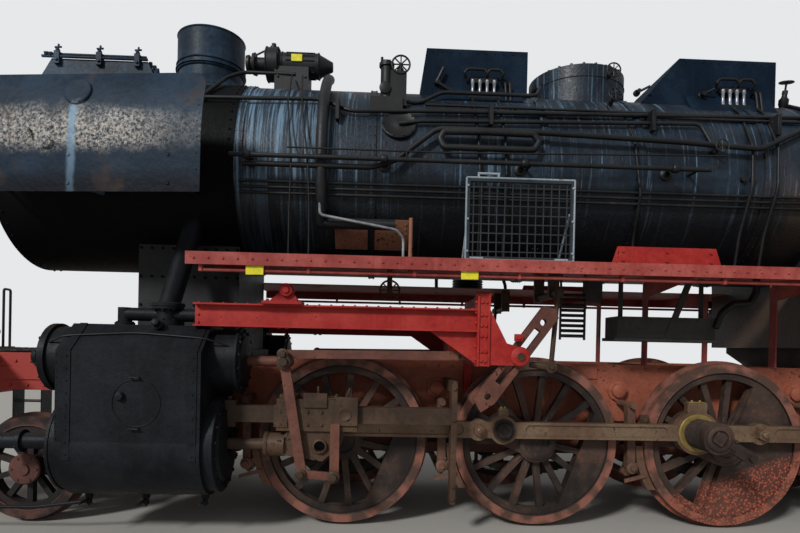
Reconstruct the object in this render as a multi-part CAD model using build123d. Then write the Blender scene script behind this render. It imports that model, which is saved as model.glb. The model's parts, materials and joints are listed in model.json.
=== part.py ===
from build123d import *
import math
import os

os.makedirs("parts", exist_ok=True)

# Steam locomotive, ten coupled wheels behind one leading axle, in millimetres.
# X runs along the engine with its front at -X, -Y is its left side, and z = 0 is under the flanges.
# "Height" in a name is measured above the rail, which lies one flange depth above z = 0.

# Running gear
flange_depth = 28
coupled_r = 700
leading_r = 425
coupled_count = 5
driving_index = 2
coupled_gap = 1650
leading_gap = 2600
front_overhang = 2150
rear_overhang = 2350
wheel_back_y = 680
tyre_w = 140
flange_w = 32
tyre_t = 75
rim_t = 55
web_y = 60
axle_r = 95
hub_r = 165
leading_hub_r = 105
hub_out = 30
coupled_spokes = 15
leading_spokes = 10
crank_throw = 330
crank_rise = 21
crank_lead = 90
pin_r = 65
driving_pin_r = 115
pin_play = 0.5
part_gap = 0.3

# Frame
frame_y = 500
frame_t = 40
frame_top_height = 1375
frame_low_height = 560
horn_w = 300
box_w = 240
buffer_len = 620
buffer_y = 875
buffer_height = 1060
beam_t = 40
beam_w = 2900
hook_t = 40

# Boiler
boiler_height = 3050
boiler_r = 870
boiler_step = 12
smokebox_front = 350
smokebox_rear = 1650
smokebox_wall = 22
door_r = 690
band_w = 60
band_stations = (1690, 2800, 4270, 5100, 6200)
firebox_front = 6750
firebox_rear = 9750
chimney_x = 1200
dome_x = 4800

# Cylinders and motion
cylinder_x = 1090
cylinder_len = 1030
cylinder_y = 1090
cylinder_height = 700
cylinder_case_r = 395
valve_height = 1360
valve_case_r = 262
piston_rod_r = 45
rod_inner_y = 868
rod_t = 80
slide_height = 945
slide_h = 130
slide_w = 100
motion_x = 3690

# Boards and cab
board_height = 2155
board_y = 1490
cab_front = 9250
cab_rear = 11250
cab_y = 1500
cab_wall = 30
cab_floor_height = 1650
cab_eaves_rise = 510
roof_rise = 560
roof_t = 30

# Places worked out from the sizes
rail_z = flange_depth
wheelbase = leading_gap + (coupled_count - 1) * coupled_gap
overall_len = front_overhang + wheelbase + rear_overhang
nose_x = -overall_len / 2
lead_x = nose_x + front_overhang
tail_x = overall_len / 2
coupled_x = [lead_x + leading_gap + i * coupled_gap for i in range(coupled_count)]
axle_z = rail_z + coupled_r
lead_axle_z = rail_z + leading_r
frame_out_y = frame_y + frame_t
frame_top = rail_z + frame_top_height
frame_low = rail_z + frame_low_height
beam_x = nose_x + buffer_len
boiler_z = rail_z + boiler_height
wheel_face_y = wheel_back_y + tyre_w
hub_face_y = wheel_face_y + hub_out
rod_outer_y = rod_inner_y + rod_t
crank_dx = -crank_throw * math.cos(math.radians(crank_rise))
crank_dz = crank_throw * math.sin(math.radians(crank_rise))
lag = math.radians(180 - crank_rise + crank_lead)
crank_offsets = {-1: (crank_dx, crank_dz), 1: (crank_throw * math.cos(lag), crank_throw * math.sin(lag))}
board_z = rail_z + board_height
cab_floor_z = rail_z + cab_floor_height
cab_eaves_z = boiler_z + cab_eaves_rise
cylinder_z = rail_z + cylinder_height
valve_z = rail_z + valve_height
slide_z = rail_z + slide_height


def at(station):
    """Place along the engine, measured back from the leading axle."""
    return lead_x + station


def block(x0, x1, y0, y1, z0, z1):
    middle = Pos((x0 + x1) / 2, (y0 + y1) / 2, (z0 + z1) / 2)
    return middle * Box(abs(x1 - x0), abs(y1 - y0), abs(z1 - z0))


def rod_along_x(y, z, r, x0, x1):
    return Pos((x0 + x1) / 2, y, z) * Rot(0, 90, 0) * Cylinder(r, abs(x1 - x0))


def rod_along_y(x, z, r, y0, y1):
    return Pos(x, (y0 + y1) / 2, z) * Rot(90, 0, 0) * Cylinder(r, abs(y1 - y0))


def rod_along_z(x, y, r, z0, z1):
    return Pos(x, y, (z0 + z1) / 2) * Cylinder(r, abs(z1 - z0))


def side_plate(points, y0, y1):
    """Outline in X and Z, thick along Y."""
    low, high = sorted((y0, y1))
    face = make_face(Polyline([(x, low, z) for x, z in points], close=True))
    return extrude(face, amount=high - low, dir=(0, 1, 0))


def cross_plate(points, x0, x1):
    """Outline in Y and Z, thick along X."""
    face = make_face(Polyline([(x0, y, z) for y, z in points], close=True))
    return extrude(face, amount=x1 - x0, dir=(1, 0, 0))


def bar(a, b, r):
    """Round bar from point a to point b."""
    return Solid.extrude(Face(Wire(Edge.make_circle(r, Plane(a, z_dir=Vector(b) - Vector(a))))), Vector(b) - Vector(a))


def strap(a, b, half, y0, y1):
    """Flat link with round ends between two points in X and Z."""
    (ax, az), (bx, bz) = a, b
    run = math.hypot(bx - ax, bz - az)
    nx, nz = -(bz - az) / run * half, (bx - ax) / run * half
    link = side_plate([(ax + nx, az + nz), (bx + nx, bz + nz), (bx - nx, bz - nz), (ax - nx, az - nz)], y0, y1)
    return link + rod_along_y(ax, az, half, y0, y1) + rod_along_y(bx, bz, half, y0, y1)


def other_side(shape):
    return mirror(shape, about=Plane.XZ)


def save(name, *solids):
    kept = []
    for shape in solids:
        kept += list(shape.solids())
    export_step(Compound(children=kept), f"parts/{name}.step")


def boiler_void():
    """The room that the smokebox, barrel and lagging bands take, for seats cut to them."""
    room = rod_along_x(0, boiler_z, boiler_r + part_gap, at(-smokebox_front), at(firebox_rear))
    room += rod_along_x(0, boiler_z, boiler_r + boiler_step + part_gap, at(-smokebox_front), at(smokebox_rear))
    for station in band_stations:
        x0, x1 = at(station) - band_w / 2 - part_gap, at(station) + band_w / 2 + part_gap
        room += rod_along_x(0, boiler_z, boiler_r + boiler_step + part_gap, x0, x1)
    return room


# Wheelsets

def wheel(x, z, r, hub, spokes, spoke_w, side):
    """Tyre, rim, spokes and hub on one side."""
    back, face = side * wheel_back_y, side * wheel_face_y
    tyre = rod_along_y(x, z, r, back, face) + rod_along_y(x, z, r + flange_depth, back, back + side * flange_w)
    rim_r = r - tyre_t
    rim = rod_along_y(x, z, rim_r, back + side * 20, face - side * 12)
    body = tyre - rod_along_y(x, z, rim_r, back, face)
    body += rim - rod_along_y(x, z, rim_r - rim_t, back, face)
    web = (wheel_back_y + wheel_face_y) / 2
    for i in range(spokes):
        turn = 360 * (i + 0.5) / spokes
        spoke = block(hub * 0.7, rim_r - rim_t + 8, -web_y / 2, web_y / 2, -spoke_w / 2, spoke_w / 2)
        body += Pos(x, side * web, z) * Rot(0, turn, 0) * spoke
    return body + rod_along_y(x, z, hub, back, side * hub_face_y)


def balance(x, z, side, chord):
    """Weight cast between the spokes, on the far side from the crank."""
    dx, dz = crank_offsets[side]
    inner_r = coupled_r - tyre_t - 4
    disc = rod_along_y(0, 0, inner_r, side * (wheel_back_y + 25), side * (wheel_face_y - 8))
    keep = block(chord, inner_r + 5, -wheel_face_y, wheel_face_y, -inner_r, inner_r)
    turn = -math.degrees(math.atan2(-dz, -dx))
    return Pos(x, 0, z) * (disc & Rot(0, turn, 0) * keep)


def crank(x, z, side, pin, reach, collar):
    """Boss on the wheel hub, and the pin that the rod runs on."""
    dx, dz = crank_offsets[side]
    cheek = strap((x, z), (x + dx, z + dz), pin + 65, side * (hub_face_y - 55), side * hub_face_y)
    pin_solid = rod_along_y(x + dx, z + dz, pin, side * (hub_face_y - 10), side * reach)
    if collar:
        pin_solid += rod_along_y(x + dx, z + dz, pin + 28, side * (rod_outer_y + 2), side * reach)
    return cheek + pin_solid


journal_end_y = 1190
return_crank_t = 62
return_reach = 300


def return_crank(x, z, side):
    """Small crank on the end of the driving pin, its rod missing."""
    dx, dz = crank_offsets[side]
    px, pz = x + dx, z + dz
    tx, tz = -dx / crank_throw, -dz / crank_throw
    end = (px + return_reach * tx + 40 * tz, pz + return_reach * tz - 40 * tx)
    y0, y1 = side * journal_end_y, side * (journal_end_y + return_crank_t)
    arm = strap((px, pz), end, 46, y0, y1)
    head = rod_along_y(px, pz, driving_pin_r + 12, y0, y1)
    stub = rod_along_y(end[0], end[1], 30, y0, y1 + side * 40)
    square = Pos(px, y1 + side * 8, pz) * Rot(0, 30, 0) * Box(90, 16, 90)
    return head + arm + stub + square


def coupled_wheelset(driven):
    """Two wheels on their axle, with cranks a quarter turn apart."""
    solid = rod_along_y(0, axle_z, axle_r, -wheel_back_y - 20, wheel_back_y + 20)
    for side in (-1, 1):
        solid += wheel(0, axle_z, coupled_r, hub_r, coupled_spokes, 52, side)
        if driven:
            solid += balance(0, axle_z, side, 60)
            solid += crank(0, axle_z, side, driving_pin_r, journal_end_y, False)
            solid += return_crank(0, axle_z, side)
        else:
            solid += balance(0, axle_z, side, 385)
            solid += crank(0, axle_z, side, pin_r, rod_outer_y + 26, True)
    return solid


def leading_wheelset():
    solid = rod_along_y(lead_x, lead_axle_z, axle_r - 10, -wheel_back_y - 20, wheel_back_y + 20)
    for side in (-1, 1):
        solid += wheel(lead_x, lead_axle_z, leading_r, leading_hub_r, leading_spokes, 46, side)
    return solid


driving_set = coupled_wheelset(True)
coupled_set = coupled_wheelset(False)
for number, axle_x in enumerate(coupled_x):
    save(f"wheelset_{number + 1}", Pos(axle_x, 0, 0) * (driving_set if number == driving_index else coupled_set))
save("leading_wheelset", leading_wheelset())

# Coupling rods, four links joined end to end by knuckles, which stay level as the wheels turn

link_half = 68
driving_eye_r = 185
eye_r = 118
knuckle_front = 209
knuckle_rear = 546


def coupling_rods(side):
    dx, dz = crank_offsets[side]
    z = axle_z + dz
    pins = [x + dx for x in coupled_x]
    y0, y1 = side * rod_inner_y, side * rod_outer_y
    rods = side_plate([(pins[0], z - link_half), (pins[-1], z - link_half), (pins[-1], z + link_half),
                       (pins[0], z + link_half)], y0, y1)
    knuckles = [pins[1] - knuckle_front, pins[2] + knuckle_rear, pins[3] + knuckle_front]
    for k in knuckles:
        rods += rod_along_y(k, z, link_half + 22, y0, y1)
        rods += rod_along_y(k, z, 34, y0, y1 + side * 18)
    for n, p in enumerate(pins):
        r = driving_eye_r if n == driving_index else eye_r
        rods += rod_along_y(p, z, r, y0, y1)
        cup_w, cup_h = (85, 70) if n == driving_index else (40, 55)
        rods += block(p - cup_w, p + cup_w, y0 + side * 12, y1 - side * 12, z + r - 25, z + r + cup_h)
    # Columns: first end, last end of each fluted stretch
    stretches = [(pins[0] + 230, knuckles[0] - 170), (pins[1] + 230, pins[2] - 300),
                 (knuckles[1] + 170, pins[3] - 230), (knuckles[2] + 170, pins[4] - 230)]
    for a, b in stretches:
        rods -= strap((a, z), (b, z), link_half - 22, y1 - side * 16, y1 + side * 5)
    for n, p in enumerate(pins):
        r = driving_pin_r if n == driving_index else pin_r
        rods -= rod_along_y(p, z, r + pin_play, y0 - side, y1 + side)
    return rods


save("coupling_rods_left", coupling_rods(-1))
save("coupling_rods_right", coupling_rods(1))

# Main frame: two plates with gaps for the axle boxes, and stretchers between them

frame_front_x = beam_x + part_gap
frame_rear_x = tail_x - 60
front_low = rail_z + 1050
bend_x = lead_x + 620
horn_top = axle_z + 190
stretcher_t = 40
stay_x = lead_x + 1150
truck_pivot_x = lead_x + 1450
truck_pin_r = 45


def frame_plate():
    outline = [(frame_front_x, front_low), (bend_x, front_low), (bend_x + 300, frame_low),
               (frame_rear_x - 900, frame_low), (frame_rear_x, rail_z + 900), (frame_rear_x, frame_top),
               (frame_front_x, frame_top)]
    plate = side_plate(outline, -frame_out_y, -frame_y)
    for x in coupled_x:
        plate -= block(x - horn_w / 2, x + horn_w / 2, -frame_out_y - 5, -frame_y + 5, 0, horn_top)
    for a, b in zip(coupled_x, coupled_x[1:]):
        middle = (a + b) / 2
        hole = strap((middle - 150, axle_z + 50), (middle + 150, axle_z + 50), 110, -frame_out_y - 5, -frame_y + 5)
        plate -= hole
    return plate


def main_frame():
    solid = frame_plate() + other_side(frame_plate())
    between = [(a + b) / 2 + 330 for a, b in zip(coupled_x, coupled_x[1:]) if b < at(firebox_front)]
    ends = [stay_x, lead_x + 1700, at(firebox_front) + 40, at(firebox_rear) + 200, frame_rear_x - 500]
    for x in between + ends:
        solid += block(x, x + stretcher_t, -frame_y, frame_y, frame_low + 60, frame_top)
    solid += block(frame_front_x + 300, frame_front_x + 300 + stretcher_t, -frame_y, frame_y, front_low, frame_top)
    solid += block(lead_x + 620, lead_x + 1700, -frame_y, frame_y, frame_top - stretcher_t, frame_top)
    return solid + truck_pin()


def truck_pin():
    """Pin on the frame's stay that the leading truck swings on."""
    z = lead_axle_z
    solid = rod_along_z(truck_pivot_x, 0, truck_pin_r, z - 10, frame_low + 400)
    solid += rod_along_z(truck_pivot_x, 0, truck_pin_r + 30, z - 40, z - 10)
    return solid + block(stay_x + stretcher_t, lead_x + 1700, -150, 150, frame_low + 300, frame_low + 420)


save("main_frame", main_frame())

# Axle boxes in the frame gaps, with a keep across the foot, and leaf springs under them
box_half_h = 170
leaf_t = 13


def axle_box(x, side):
    y0, y1 = side * (frame_y - 70), side * (frame_out_y + 60)
    body = block(x - box_w / 2, x + box_w / 2, y0, y1, axle_z - box_half_h, axle_z + box_half_h)
    cheeks = block(x - horn_w / 2 + part_gap, x + horn_w / 2 - part_gap, side * frame_y, side * frame_out_y,
                   axle_z - box_half_h, axle_z + box_half_h)
    return body + cheeks - rod_along_y(x, axle_z, axle_r + pin_play, y0 - side, y1 + side)


def leaf_spring(x, side):
    """Stack of leaves, the longest on top, with its buckle under the axle box."""
    y0, y1 = side * (frame_y - 45), side * (frame_y + 45)
    top = axle_z - box_half_h - 60
    stack = block(x - 50, x + 50, y0 - side * 8, y1 + side * 8, top - 8 * leaf_t - 12, axle_z - box_half_h)
    for n in range(8):
        half = 480 - 48 * n
        stack += block(x - half, x + half, y0, y1, top - (n + 1) * leaf_t, top - n * leaf_t)
    for end in (-1, 1):
        ex = x + end * 455
        stack += rod_along_z(ex, side * frame_y, 16, top - leaf_t, frame_low - part_gap)
    return stack


save("axle_boxes", *[axle_box(x, side) + leaf_spring(x, side) for x in coupled_x for side in (-1, 1)])

# Front beam, buffers, hook and steps
beam_low = rail_z + 800
beam_top = frame_top + 25


def buffer_beam():
    solid = block(beam_x - beam_t, beam_x, -beam_w / 2, beam_w / 2, beam_low + 60, beam_top)
    solid += block(beam_x - beam_t, beam_x, -1100, 1100, beam_low, beam_low + 60)
    for side in (-1, 1):
        solid -= rod_along_x(side * buffer_y, rail_z + buffer_height, 60, beam_x - beam_t - 1, beam_x + 1)
    slot_y = hook_t / 2 + part_gap
    slot_z = rail_z + buffer_height
    hook_slot = block(beam_x - beam_t - 1, beam_x + 1, -slot_y, slot_y, slot_z - 60, slot_z + 60)
    return solid - hook_slot


def buffer(side):
    y, z = side * buffer_y, rail_z + buffer_height
    foot = beam_x - beam_t - part_gap
    base = block(foot - 25, foot, y - 170, y + 170, z - 170, z + 170)
    case = rod_along_x(y, z, 125, foot - 330, foot)
    stem = rod_along_x(y, z, 95, nose_x + 20, foot - 300)
    head = rod_along_x(y, z, 225, nose_x, nose_x + 35)
    return base + case + stem + head


def draw_hook():
    z = rail_z + buffer_height
    y = hook_t / 2
    shank = block(beam_x - 330, beam_x + 140, -y, y, z - 45, z + 45)
    throat = rod_along_y(beam_x - 330, z + 15, 75, -y, y) - rod_along_y(beam_x - 345, z + 40, 34, -y - 1, y + 1)
    return shank + throat - block(beam_x - 400, beam_x - 345, -y - 1, y + 1, z + 40, z + 140)


def screw_coupling():
    """Hangs from the hook's pin in a loop."""
    z = rail_z + buffer_height
    x = beam_x - 225
    pin = rod_along_y(x, z - 78, 20, -95, 95)
    screw = rod_along_z(x, 0, 24, z - 520, z - 98)
    nut = rod_along_y(x, z - 440, 26, -95, 95)
    links = block(x - 15, x + 15, -95, -75, z - 440, z - 78) + block(x - 15, x + 15, 75, 95, z - 440, z - 78)
    handle = block(x - 12, x + 12, -200, 200, z - 300, z - 275)
    lug = block(x - 24, x + 24, -20, 20, z - 98, z - 40)
    return pin + screw + nut + links + handle + lug


save("buffer_beam", buffer_beam())
save("front_buffers", buffer(-1), buffer(1))
save("draw_gear", draw_hook() + screw_coupling())

deck_rear_x = at(-450)
deck_t = 12


def front_deck():
    """Chequer plate on the frame, with a slope up to the smokebox."""
    z = frame_top + part_gap
    deck = block(beam_x + part_gap, deck_rear_x, -1350, 1350, z, z + deck_t)
    for side in (-1, 1):
        deck += block(beam_x + part_gap, deck_rear_x, side * 1350, side * 1338, z - 90, z + deck_t)
    return deck


def front_steps(side):
    """Two treads on side plates below the deck."""
    z = frame_top
    y0, y1 = side * 1130, side * (1338 - part_gap)
    x0 = beam_x + 180
    ladder = block(x0, x0 + 12, y0, y1, rail_z + 420, z) + block(x0 + 320, x0 + 332, y0, y1, rail_z + 420, z)
    for tread in (rail_z + 440, rail_z + 760, rail_z + 1070):
        ladder += block(x0, x0 + 332, y0, y1, tread, tread + 12)
    return ladder


save("front_deck", front_deck())
save("front_steps", front_steps(-1), front_steps(1))

# Smokebox, its saddle on the frame, and the door
shell_r = boiler_r + boiler_step
front_x = at(-smokebox_front)
shell_rear_x = at(smokebox_rear)
front_plate_t = 30
door_dish = 130


def smokebox():
    """Drum closed behind by the tube plate, with the blast pipe's hole left out."""
    solid = rod_along_x(0, boiler_z, shell_r, front_x, shell_rear_x)
    solid -= rod_along_x(0, boiler_z, shell_r - smokebox_wall, front_x + front_plate_t, shell_rear_x - 30)
    solid -= rod_along_x(0, boiler_z, door_r - 40, front_x - 1, front_x + front_plate_t + 1)
    solid -= rod_along_z(at(chimney_x), 0, chimney_bore_r, boiler_z, boiler_z + shell_r + 10)
    return solid


chimney_bore_r = 235
chimney_r = 300
chimney_flare = 80
chimney_foot_h = 150
chimney_sleeve_r = 312
chimney_top = boiler_z + 1385
chimney_band = boiler_z + 1045


def chimney():
    x = at(chimney_x)
    stack = rod_along_z(x, 0, chimney_r, boiler_z, chimney_band + 1)
    stack += Pos(x, 0, boiler_z + shell_r - 20) * Cone(chimney_r + chimney_flare, chimney_r, chimney_foot_h)
    stack += rod_along_z(x, 0, chimney_sleeve_r, chimney_band, chimney_top)
    stack -= rod_along_z(x, 0, chimney_bore_r, boiler_z - 1, chimney_top + 1)
    return stack - boiler_void()


def smokebox_door():
    """Dished door with its rim, clamps' ring and centre wheel, and its hinge straps at +Y."""
    x = front_x - part_gap
    dish_r = (door_r ** 2 + door_dish ** 2) / (2 * door_dish)
    ball = Pos(x - door_dish + dish_r - 30, 0, boiler_z) * Sphere(dish_r)
    shell = ball & rod_along_x(0, boiler_z, door_r, x - door_dish - 60, x - 28)
    inner = Pos(x - door_dish + dish_r - 14, 0, boiler_z) * Sphere(dish_r)
    rim = rod_along_x(0, boiler_z, door_r + 22, x - 30, x) - rod_along_x(0, boiler_z, door_r - 30, x - 31, x + 1)
    door = (shell - inner) + rim
    door += rod_along_x(0, boiler_z, 34, x - door_dish - 110, x - door_dish - 10)
    door += rod_along_x(0, boiler_z, 150, x - door_dish - 110, x - door_dish - 85)
    door -= rod_along_x(0, boiler_z, 118, x - door_dish - 111, x - door_dish - 84) - door_hub()
    for strap_z in (boiler_z - strap_height, boiler_z + strap_height):
        door += block(x - 60, x - 30, 250, door_hinge_y, strap_z - 35, strap_z + 35) - inner
        door += rod_along_z(hinge_x, door_hinge_y, hinge_eye_r, strap_z - eye_half, strap_z + eye_half)
        door -= rod_along_z(hinge_x, door_hinge_y, hinge_pin_r + pin_play, strap_z - eye_half - 1,
                            strap_z + eye_half + 1)
    return door


def door_hub():
    x = front_x - part_gap
    hub = rod_along_x(0, boiler_z, 40, x - door_dish - 111, x - door_dish - 84)
    for turn in (0, 60, 120):
        hub += Pos(x - door_dish - 97, 0, boiler_z) * Rot(turn, 0, 0) * Box(14, 260, 16)
    return hub


door_hinge_y = door_r + 80
hinge_x = front_x - part_gap - 45
hinge_pin_r = 12
hinge_eye_r = 24
strap_height = 260
eye_half = 50


def smokebox_hinge():
    """Lugs on the front plate with the pin that the door's two straps turn on."""
    y0, y1 = door_hinge_y - 22, door_hinge_y + 22
    solid = rod_along_z(hinge_x, door_hinge_y, hinge_pin_r, boiler_z - strap_height - 75, boiler_z + strap_height + 75)
    for strap_z in (boiler_z - strap_height, boiler_z + strap_height):
        for out in (-1, 1):
            z0, z1 = sorted((strap_z + out * (eye_half + 1), strap_z + out * (eye_half + 25)))
            solid += block(hinge_x - 20, front_x + 5, y0, y1, z0, z1)
    return solid


def saddle():
    """Box between frame and smokebox, hollowed to the drum."""
    low = frame_top + part_gap
    solid = block(at(760), at(1640), -frame_out_y, frame_out_y, low, boiler_z - 500)
    solid += block(at(700), at(1700), -frame_out_y, frame_out_y, low, low + 60)
    return solid - boiler_void()


save("smokebox", smokebox() + smokebox_hinge())
save("chimney", chimney())
save("smokebox_door", smokebox_door())
save("smokebox_saddle", saddle())

# Boiler barrel with its lagging bands, and the firebox behind it
band_t = boiler_step


def boiler_barrel():
    front, rear = shell_rear_x + part_gap, at(firebox_front) - part_gap
    solid = rod_along_x(0, boiler_z, boiler_r, front, rear)
    for station in band_stations:
        solid += rod_along_x(0, boiler_z, boiler_r + band_t, at(station) - band_w / 2, at(station) + band_w / 2)
    return solid


grate_y = 820
grate_height = 1560


def firebox():
    """Round crown, sides drawn in to the grate, and the fire hole in its back."""
    z = rail_z + grate_height
    front, rear = at(firebox_front), at(firebox_rear)
    solid = rod_along_x(0, boiler_z, boiler_r, front, rear)
    skirt = [(-boiler_r, boiler_z), (-boiler_r, boiler_z - 450), (-grate_y, z + 300), (-grate_y, z), (grate_y, z),
             (grate_y, z + 300), (boiler_r, boiler_z - 450), (boiler_r, boiler_z)]
    solid += cross_plate(skirt, front, rear)
    solid -= block(rear - fire_hole_deep, rear + 1, -fire_hole_w / 2, fire_hole_w / 2, fire_hole_low, fire_hole_top)
    return solid


fire_hole_w = 460
fire_hole_deep = 480
fire_hole_low = cab_floor_z + 560
fire_hole_top = fire_hole_low + 380
ash_low = rail_z + 480


def ash_pan():
    """Wide under the grate and narrow between the frame plates."""
    top = rail_z + grate_height - part_gap
    front, rear = at(firebox_front + 150), at(firebox_rear - 350)
    shape = [(-grate_y + 40, top), (-grate_y + 40, top - 60), (-frame_y + 120, frame_top - 40),
             (-frame_y + 120, ash_low), (frame_y - 120, ash_low), (frame_y - 120, frame_top - 40),
             (grate_y - 40, top - 60), (grate_y - 40, top)]
    pan = cross_plate(shape, front, rear)
    for i in (3, 4):
        pan -= rod_along_y(coupled_x[i], axle_z, axle_r + 60, -frame_y, frame_y)
    return pan


save("boiler_barrel", boiler_barrel())
save("firebox", firebox())
save("ash_pan", ash_pan())

# Dome, sand boxes and the cover on the smokebox
dome_r = 455
dome_top = boiler_z + 1185
dome_crown = 90
sand_top = boiler_z + 1175
sand_half = 450


def dome():
    x = at(dome_x)
    solid = rod_along_z(x, 0, dome_r, boiler_z, dome_top - dome_crown)
    cap_r = (dome_r ** 2 + dome_crown ** 2) / (2 * dome_crown)
    cap = (Pos(x, 0, dome_top - cap_r) * Sphere(cap_r)) & rod_along_z(x, 0, dome_r, dome_top - dome_crown - 1, dome_top)
    return solid + cap - boiler_void()


def sand_box(x0, x1, slope):
    """Angular box astride the boiler, its front face sloping."""
    low = boiler_z + 640
    solid = side_plate([(x0 - slope, low), (x0 - slope, low + 30), (x0, sand_top), (x1, sand_top), (x1, low)],
                       -sand_half, sand_half)
    for side in (-1, 1):
        chute = [(side * sand_half, low), (side * (sand_half + 150), low - 20), (side * sand_half, low + 190)]
        solid += cross_plate(chute, x0 + 60, x1 - 60)
    return solid - boiler_void()


cover_rise = 962
cover_half_w = 420
cover_x0 = at(-210)
cover_x1 = at(852)
cover_front_run = 120
cover_rear_run = 95


def front_cover():
    """Flat-topped cover with sloping ends on the smokebox."""
    base = boiler_z + shell_r - 130
    top = boiler_z + cover_rise
    outline = [(cover_x0, base), (cover_x0 + cover_front_run, top), (cover_x1 - cover_rear_run, top), (cover_x1, base)]
    return side_plate(outline, -cover_half_w, cover_half_w) - boiler_void()


generator_rise = 1055
generator_y = -260
generator_x = at(1603)
generator_spool_r = 62
generator_turbine_r = 150
generator_body_r = 112
generator_tail = 124


def generator():
    """Governor spool, turbine and dynamo in one line, on a plinth beside the boiler's crown."""
    y, z = generator_y, boiler_z + generator_rise
    turbine, body, tail = generator_x + 197, generator_x + 297, generator_x + 677
    solid = rod_along_x(y, z, generator_spool_r, generator_x, turbine + 1)
    solid += rod_along_x(y, z, generator_spool_r + 34, generator_x + 60, generator_x + 84)
    solid += rod_along_x(y, z, generator_turbine_r, turbine, body)
    solid += rod_along_x(y, z, generator_body_r, body - 1, tail)
    solid += Pos(tail + generator_tail / 2, y, z) * Rot(0, 90, 0) * Cone(generator_body_r - 8, 42, generator_tail)
    solid += block(at(1881), at(2191), y - 120, y + 120, boiler_z + 600, z - 60)
    return solid - boiler_void()


save("steam_dome", dome())
save("front_sandbox", sand_box(at(3270), at(4200), 60))
save("rear_sandbox", sand_box(at(5620), at(6540), 420))
save("smokebox_cover", front_cover())
save("turbo_generator", generator())

# Cylinders with the valve chests above them
case_outer_y = board_y - 10
case_x0 = at(cylinder_x) - cylinder_len / 2
case_x1 = at(cylinder_x) + cylinder_len / 2
cover_r = 365


def cylinder(side):
    case_r = cylinder_case_r
    outline = [(side * frame_out_y + side * part_gap, cylinder_z - 220), (side * cylinder_y, cylinder_z - case_r),
               (side * (cylinder_y + 250), cylinder_z - 300), (side * case_outer_y, cylinder_z - 60),
               (side * case_outer_y, valve_z + 60), (side * (cylinder_y + 150), valve_z + valve_case_r),
               (side * (cylinder_y - 180), valve_z + valve_case_r),
               (side * (frame_out_y + part_gap), frame_top - 100)]
    solid = cross_plate(outline, case_x0, case_x1)
    solid += rod_along_x(side * cylinder_y, cylinder_z, case_r, case_x0, case_x1)
    solid += rod_along_x(side * cylinder_y, cylinder_z, cover_r, case_x0 - 60, case_x1 + 60)
    solid += rod_along_x(side * cylinder_y, valve_z, valve_case_r - 22, case_x0 - 190, case_x1 + 190)
    solid += rod_along_x(side * cylinder_y, valve_z, valve_case_r, case_x0 - 190, case_x0 - 165)
    solid += rod_along_x(side * cylinder_y, valve_z, 55, case_x0 - 330, case_x0 - 189)
    solid += rod_along_x(side * cylinder_y, cylinder_z, 62, case_x0 - 700, case_x0 - 59)
    solid += rod_along_x(side * cylinder_y, cylinder_z, 88, case_x0 - 470, case_x0 - 440)
    return solid


def steam_pipe(side):
    """From the valve chest up into the smokebox's side, with the branches on the chest."""
    top = valve_z + valve_case_r + part_gap
    x = at(cylinder_x) + 130
    slant = bar((x, side * cylinder_y, top + 130), (x + 60, side * 640, boiler_z - 490), 82)
    slant += rod_along_z(x, side * cylinder_y, 82, top, top + 150)
    slant += rod_along_z(x, side * cylinder_y, 125, top, top + 40)
    slant += rod_along_z(x, side * cylinder_y, 120, top + 130, top + 175)
    for run in (-330, 300):
        slant += rod_along_x(side * cylinder_y, top + 85, 52, x, x + run)
        slant += rod_along_z(x + run, side * cylinder_y, 52, top, top + 137)
    return slant - boiler_void()


save("cylinders", cylinder(-1), cylinder(1))
save("steam_pipes", steam_pipe(-1), steam_pipe(1))

# Slide bars, crossheads and the plates that carry the motion
slide_x0 = case_x1 + 60 + part_gap
slide_x1 = at(motion_x) - 215
hanger_t = 45
hanger_h = 90
rods_clear_z = axle_z + crank_throw + link_half + 40
crosshead_x = at(2400)


def slide_bar(side):
    """Single bar above the piston rod, with its foot on the cylinder and its rear hanger."""
    y0, y1 = side * (cylinder_y - slide_w / 2), side * (cylinder_y + slide_w / 2)
    solid = block(slide_x0, slide_x1, y0, y1, slide_z - slide_h / 2, slide_z + slide_h / 2)
    solid += block(slide_x0, slide_x0 + 110, y0, y1, slide_z - slide_h / 2 - 40, slide_z + slide_h / 2 + 40)
    hx = slide_x1
    solid += block(hx, hx + hanger_t, y0 - side * 15, y1 + side * 15, rail_z + 250, rods_clear_z + hanger_h)
    solid += block(hx, hx + hanger_t, side * (frame_out_y + part_gap), y1 + side * 15, rods_clear_z,
                   rods_clear_z + hanger_h)
    return solid


def crosshead(side):
    """Shoe round the slide bar, boss on the piston rod, and the empty eye of the missing main rod."""
    y0, y1 = side * (cylinder_y - 85), side * (cylinder_y + 85)
    shoe = block(crosshead_x - 300, crosshead_x + 330, y0, y1, slide_z - 125, slide_z + 125)
    void = block(crosshead_x - 301, crosshead_x + 331, side * (cylinder_y - slide_w / 2 - 1),
                 side * (cylinder_y + slide_w / 2 + 1), slide_z - slide_h / 2 - 1, slide_z + slide_h / 2 + 1)
    body = side_plate([(crosshead_x - 200, slide_z - 120), (crosshead_x - 250, cylinder_z + 75),
                       (crosshead_x - 250, cylinder_z - 75), (crosshead_x + 60, cylinder_z - 120),
                       (crosshead_x + 200, cylinder_z), (crosshead_x + 240, slide_z - 120)], side * (cylinder_y - 60),
                      side * (cylinder_y - 60) + side * 120)
    eye = rod_along_y(crosshead_x + 40, cylinder_z, gudgeon_r, y0 - side, y1 + side)
    jaw = block(crosshead_x - 60, crosshead_x + 260, side * (cylinder_y - 35), side * (cylinder_y + 35),
                cylinder_z - 130, cylinder_z + 110)
    rod = rod_along_x(side * cylinder_y, cylinder_z, piston_rod_r, case_x1 + 60 + part_gap, crosshead_x - 240)
    sleeve = rod_along_x(side * cylinder_y, cylinder_z, 92, crosshead_x - 400, crosshead_x - 240)
    return (shoe - void) + body + sleeve + rod - jaw - eye


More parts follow.
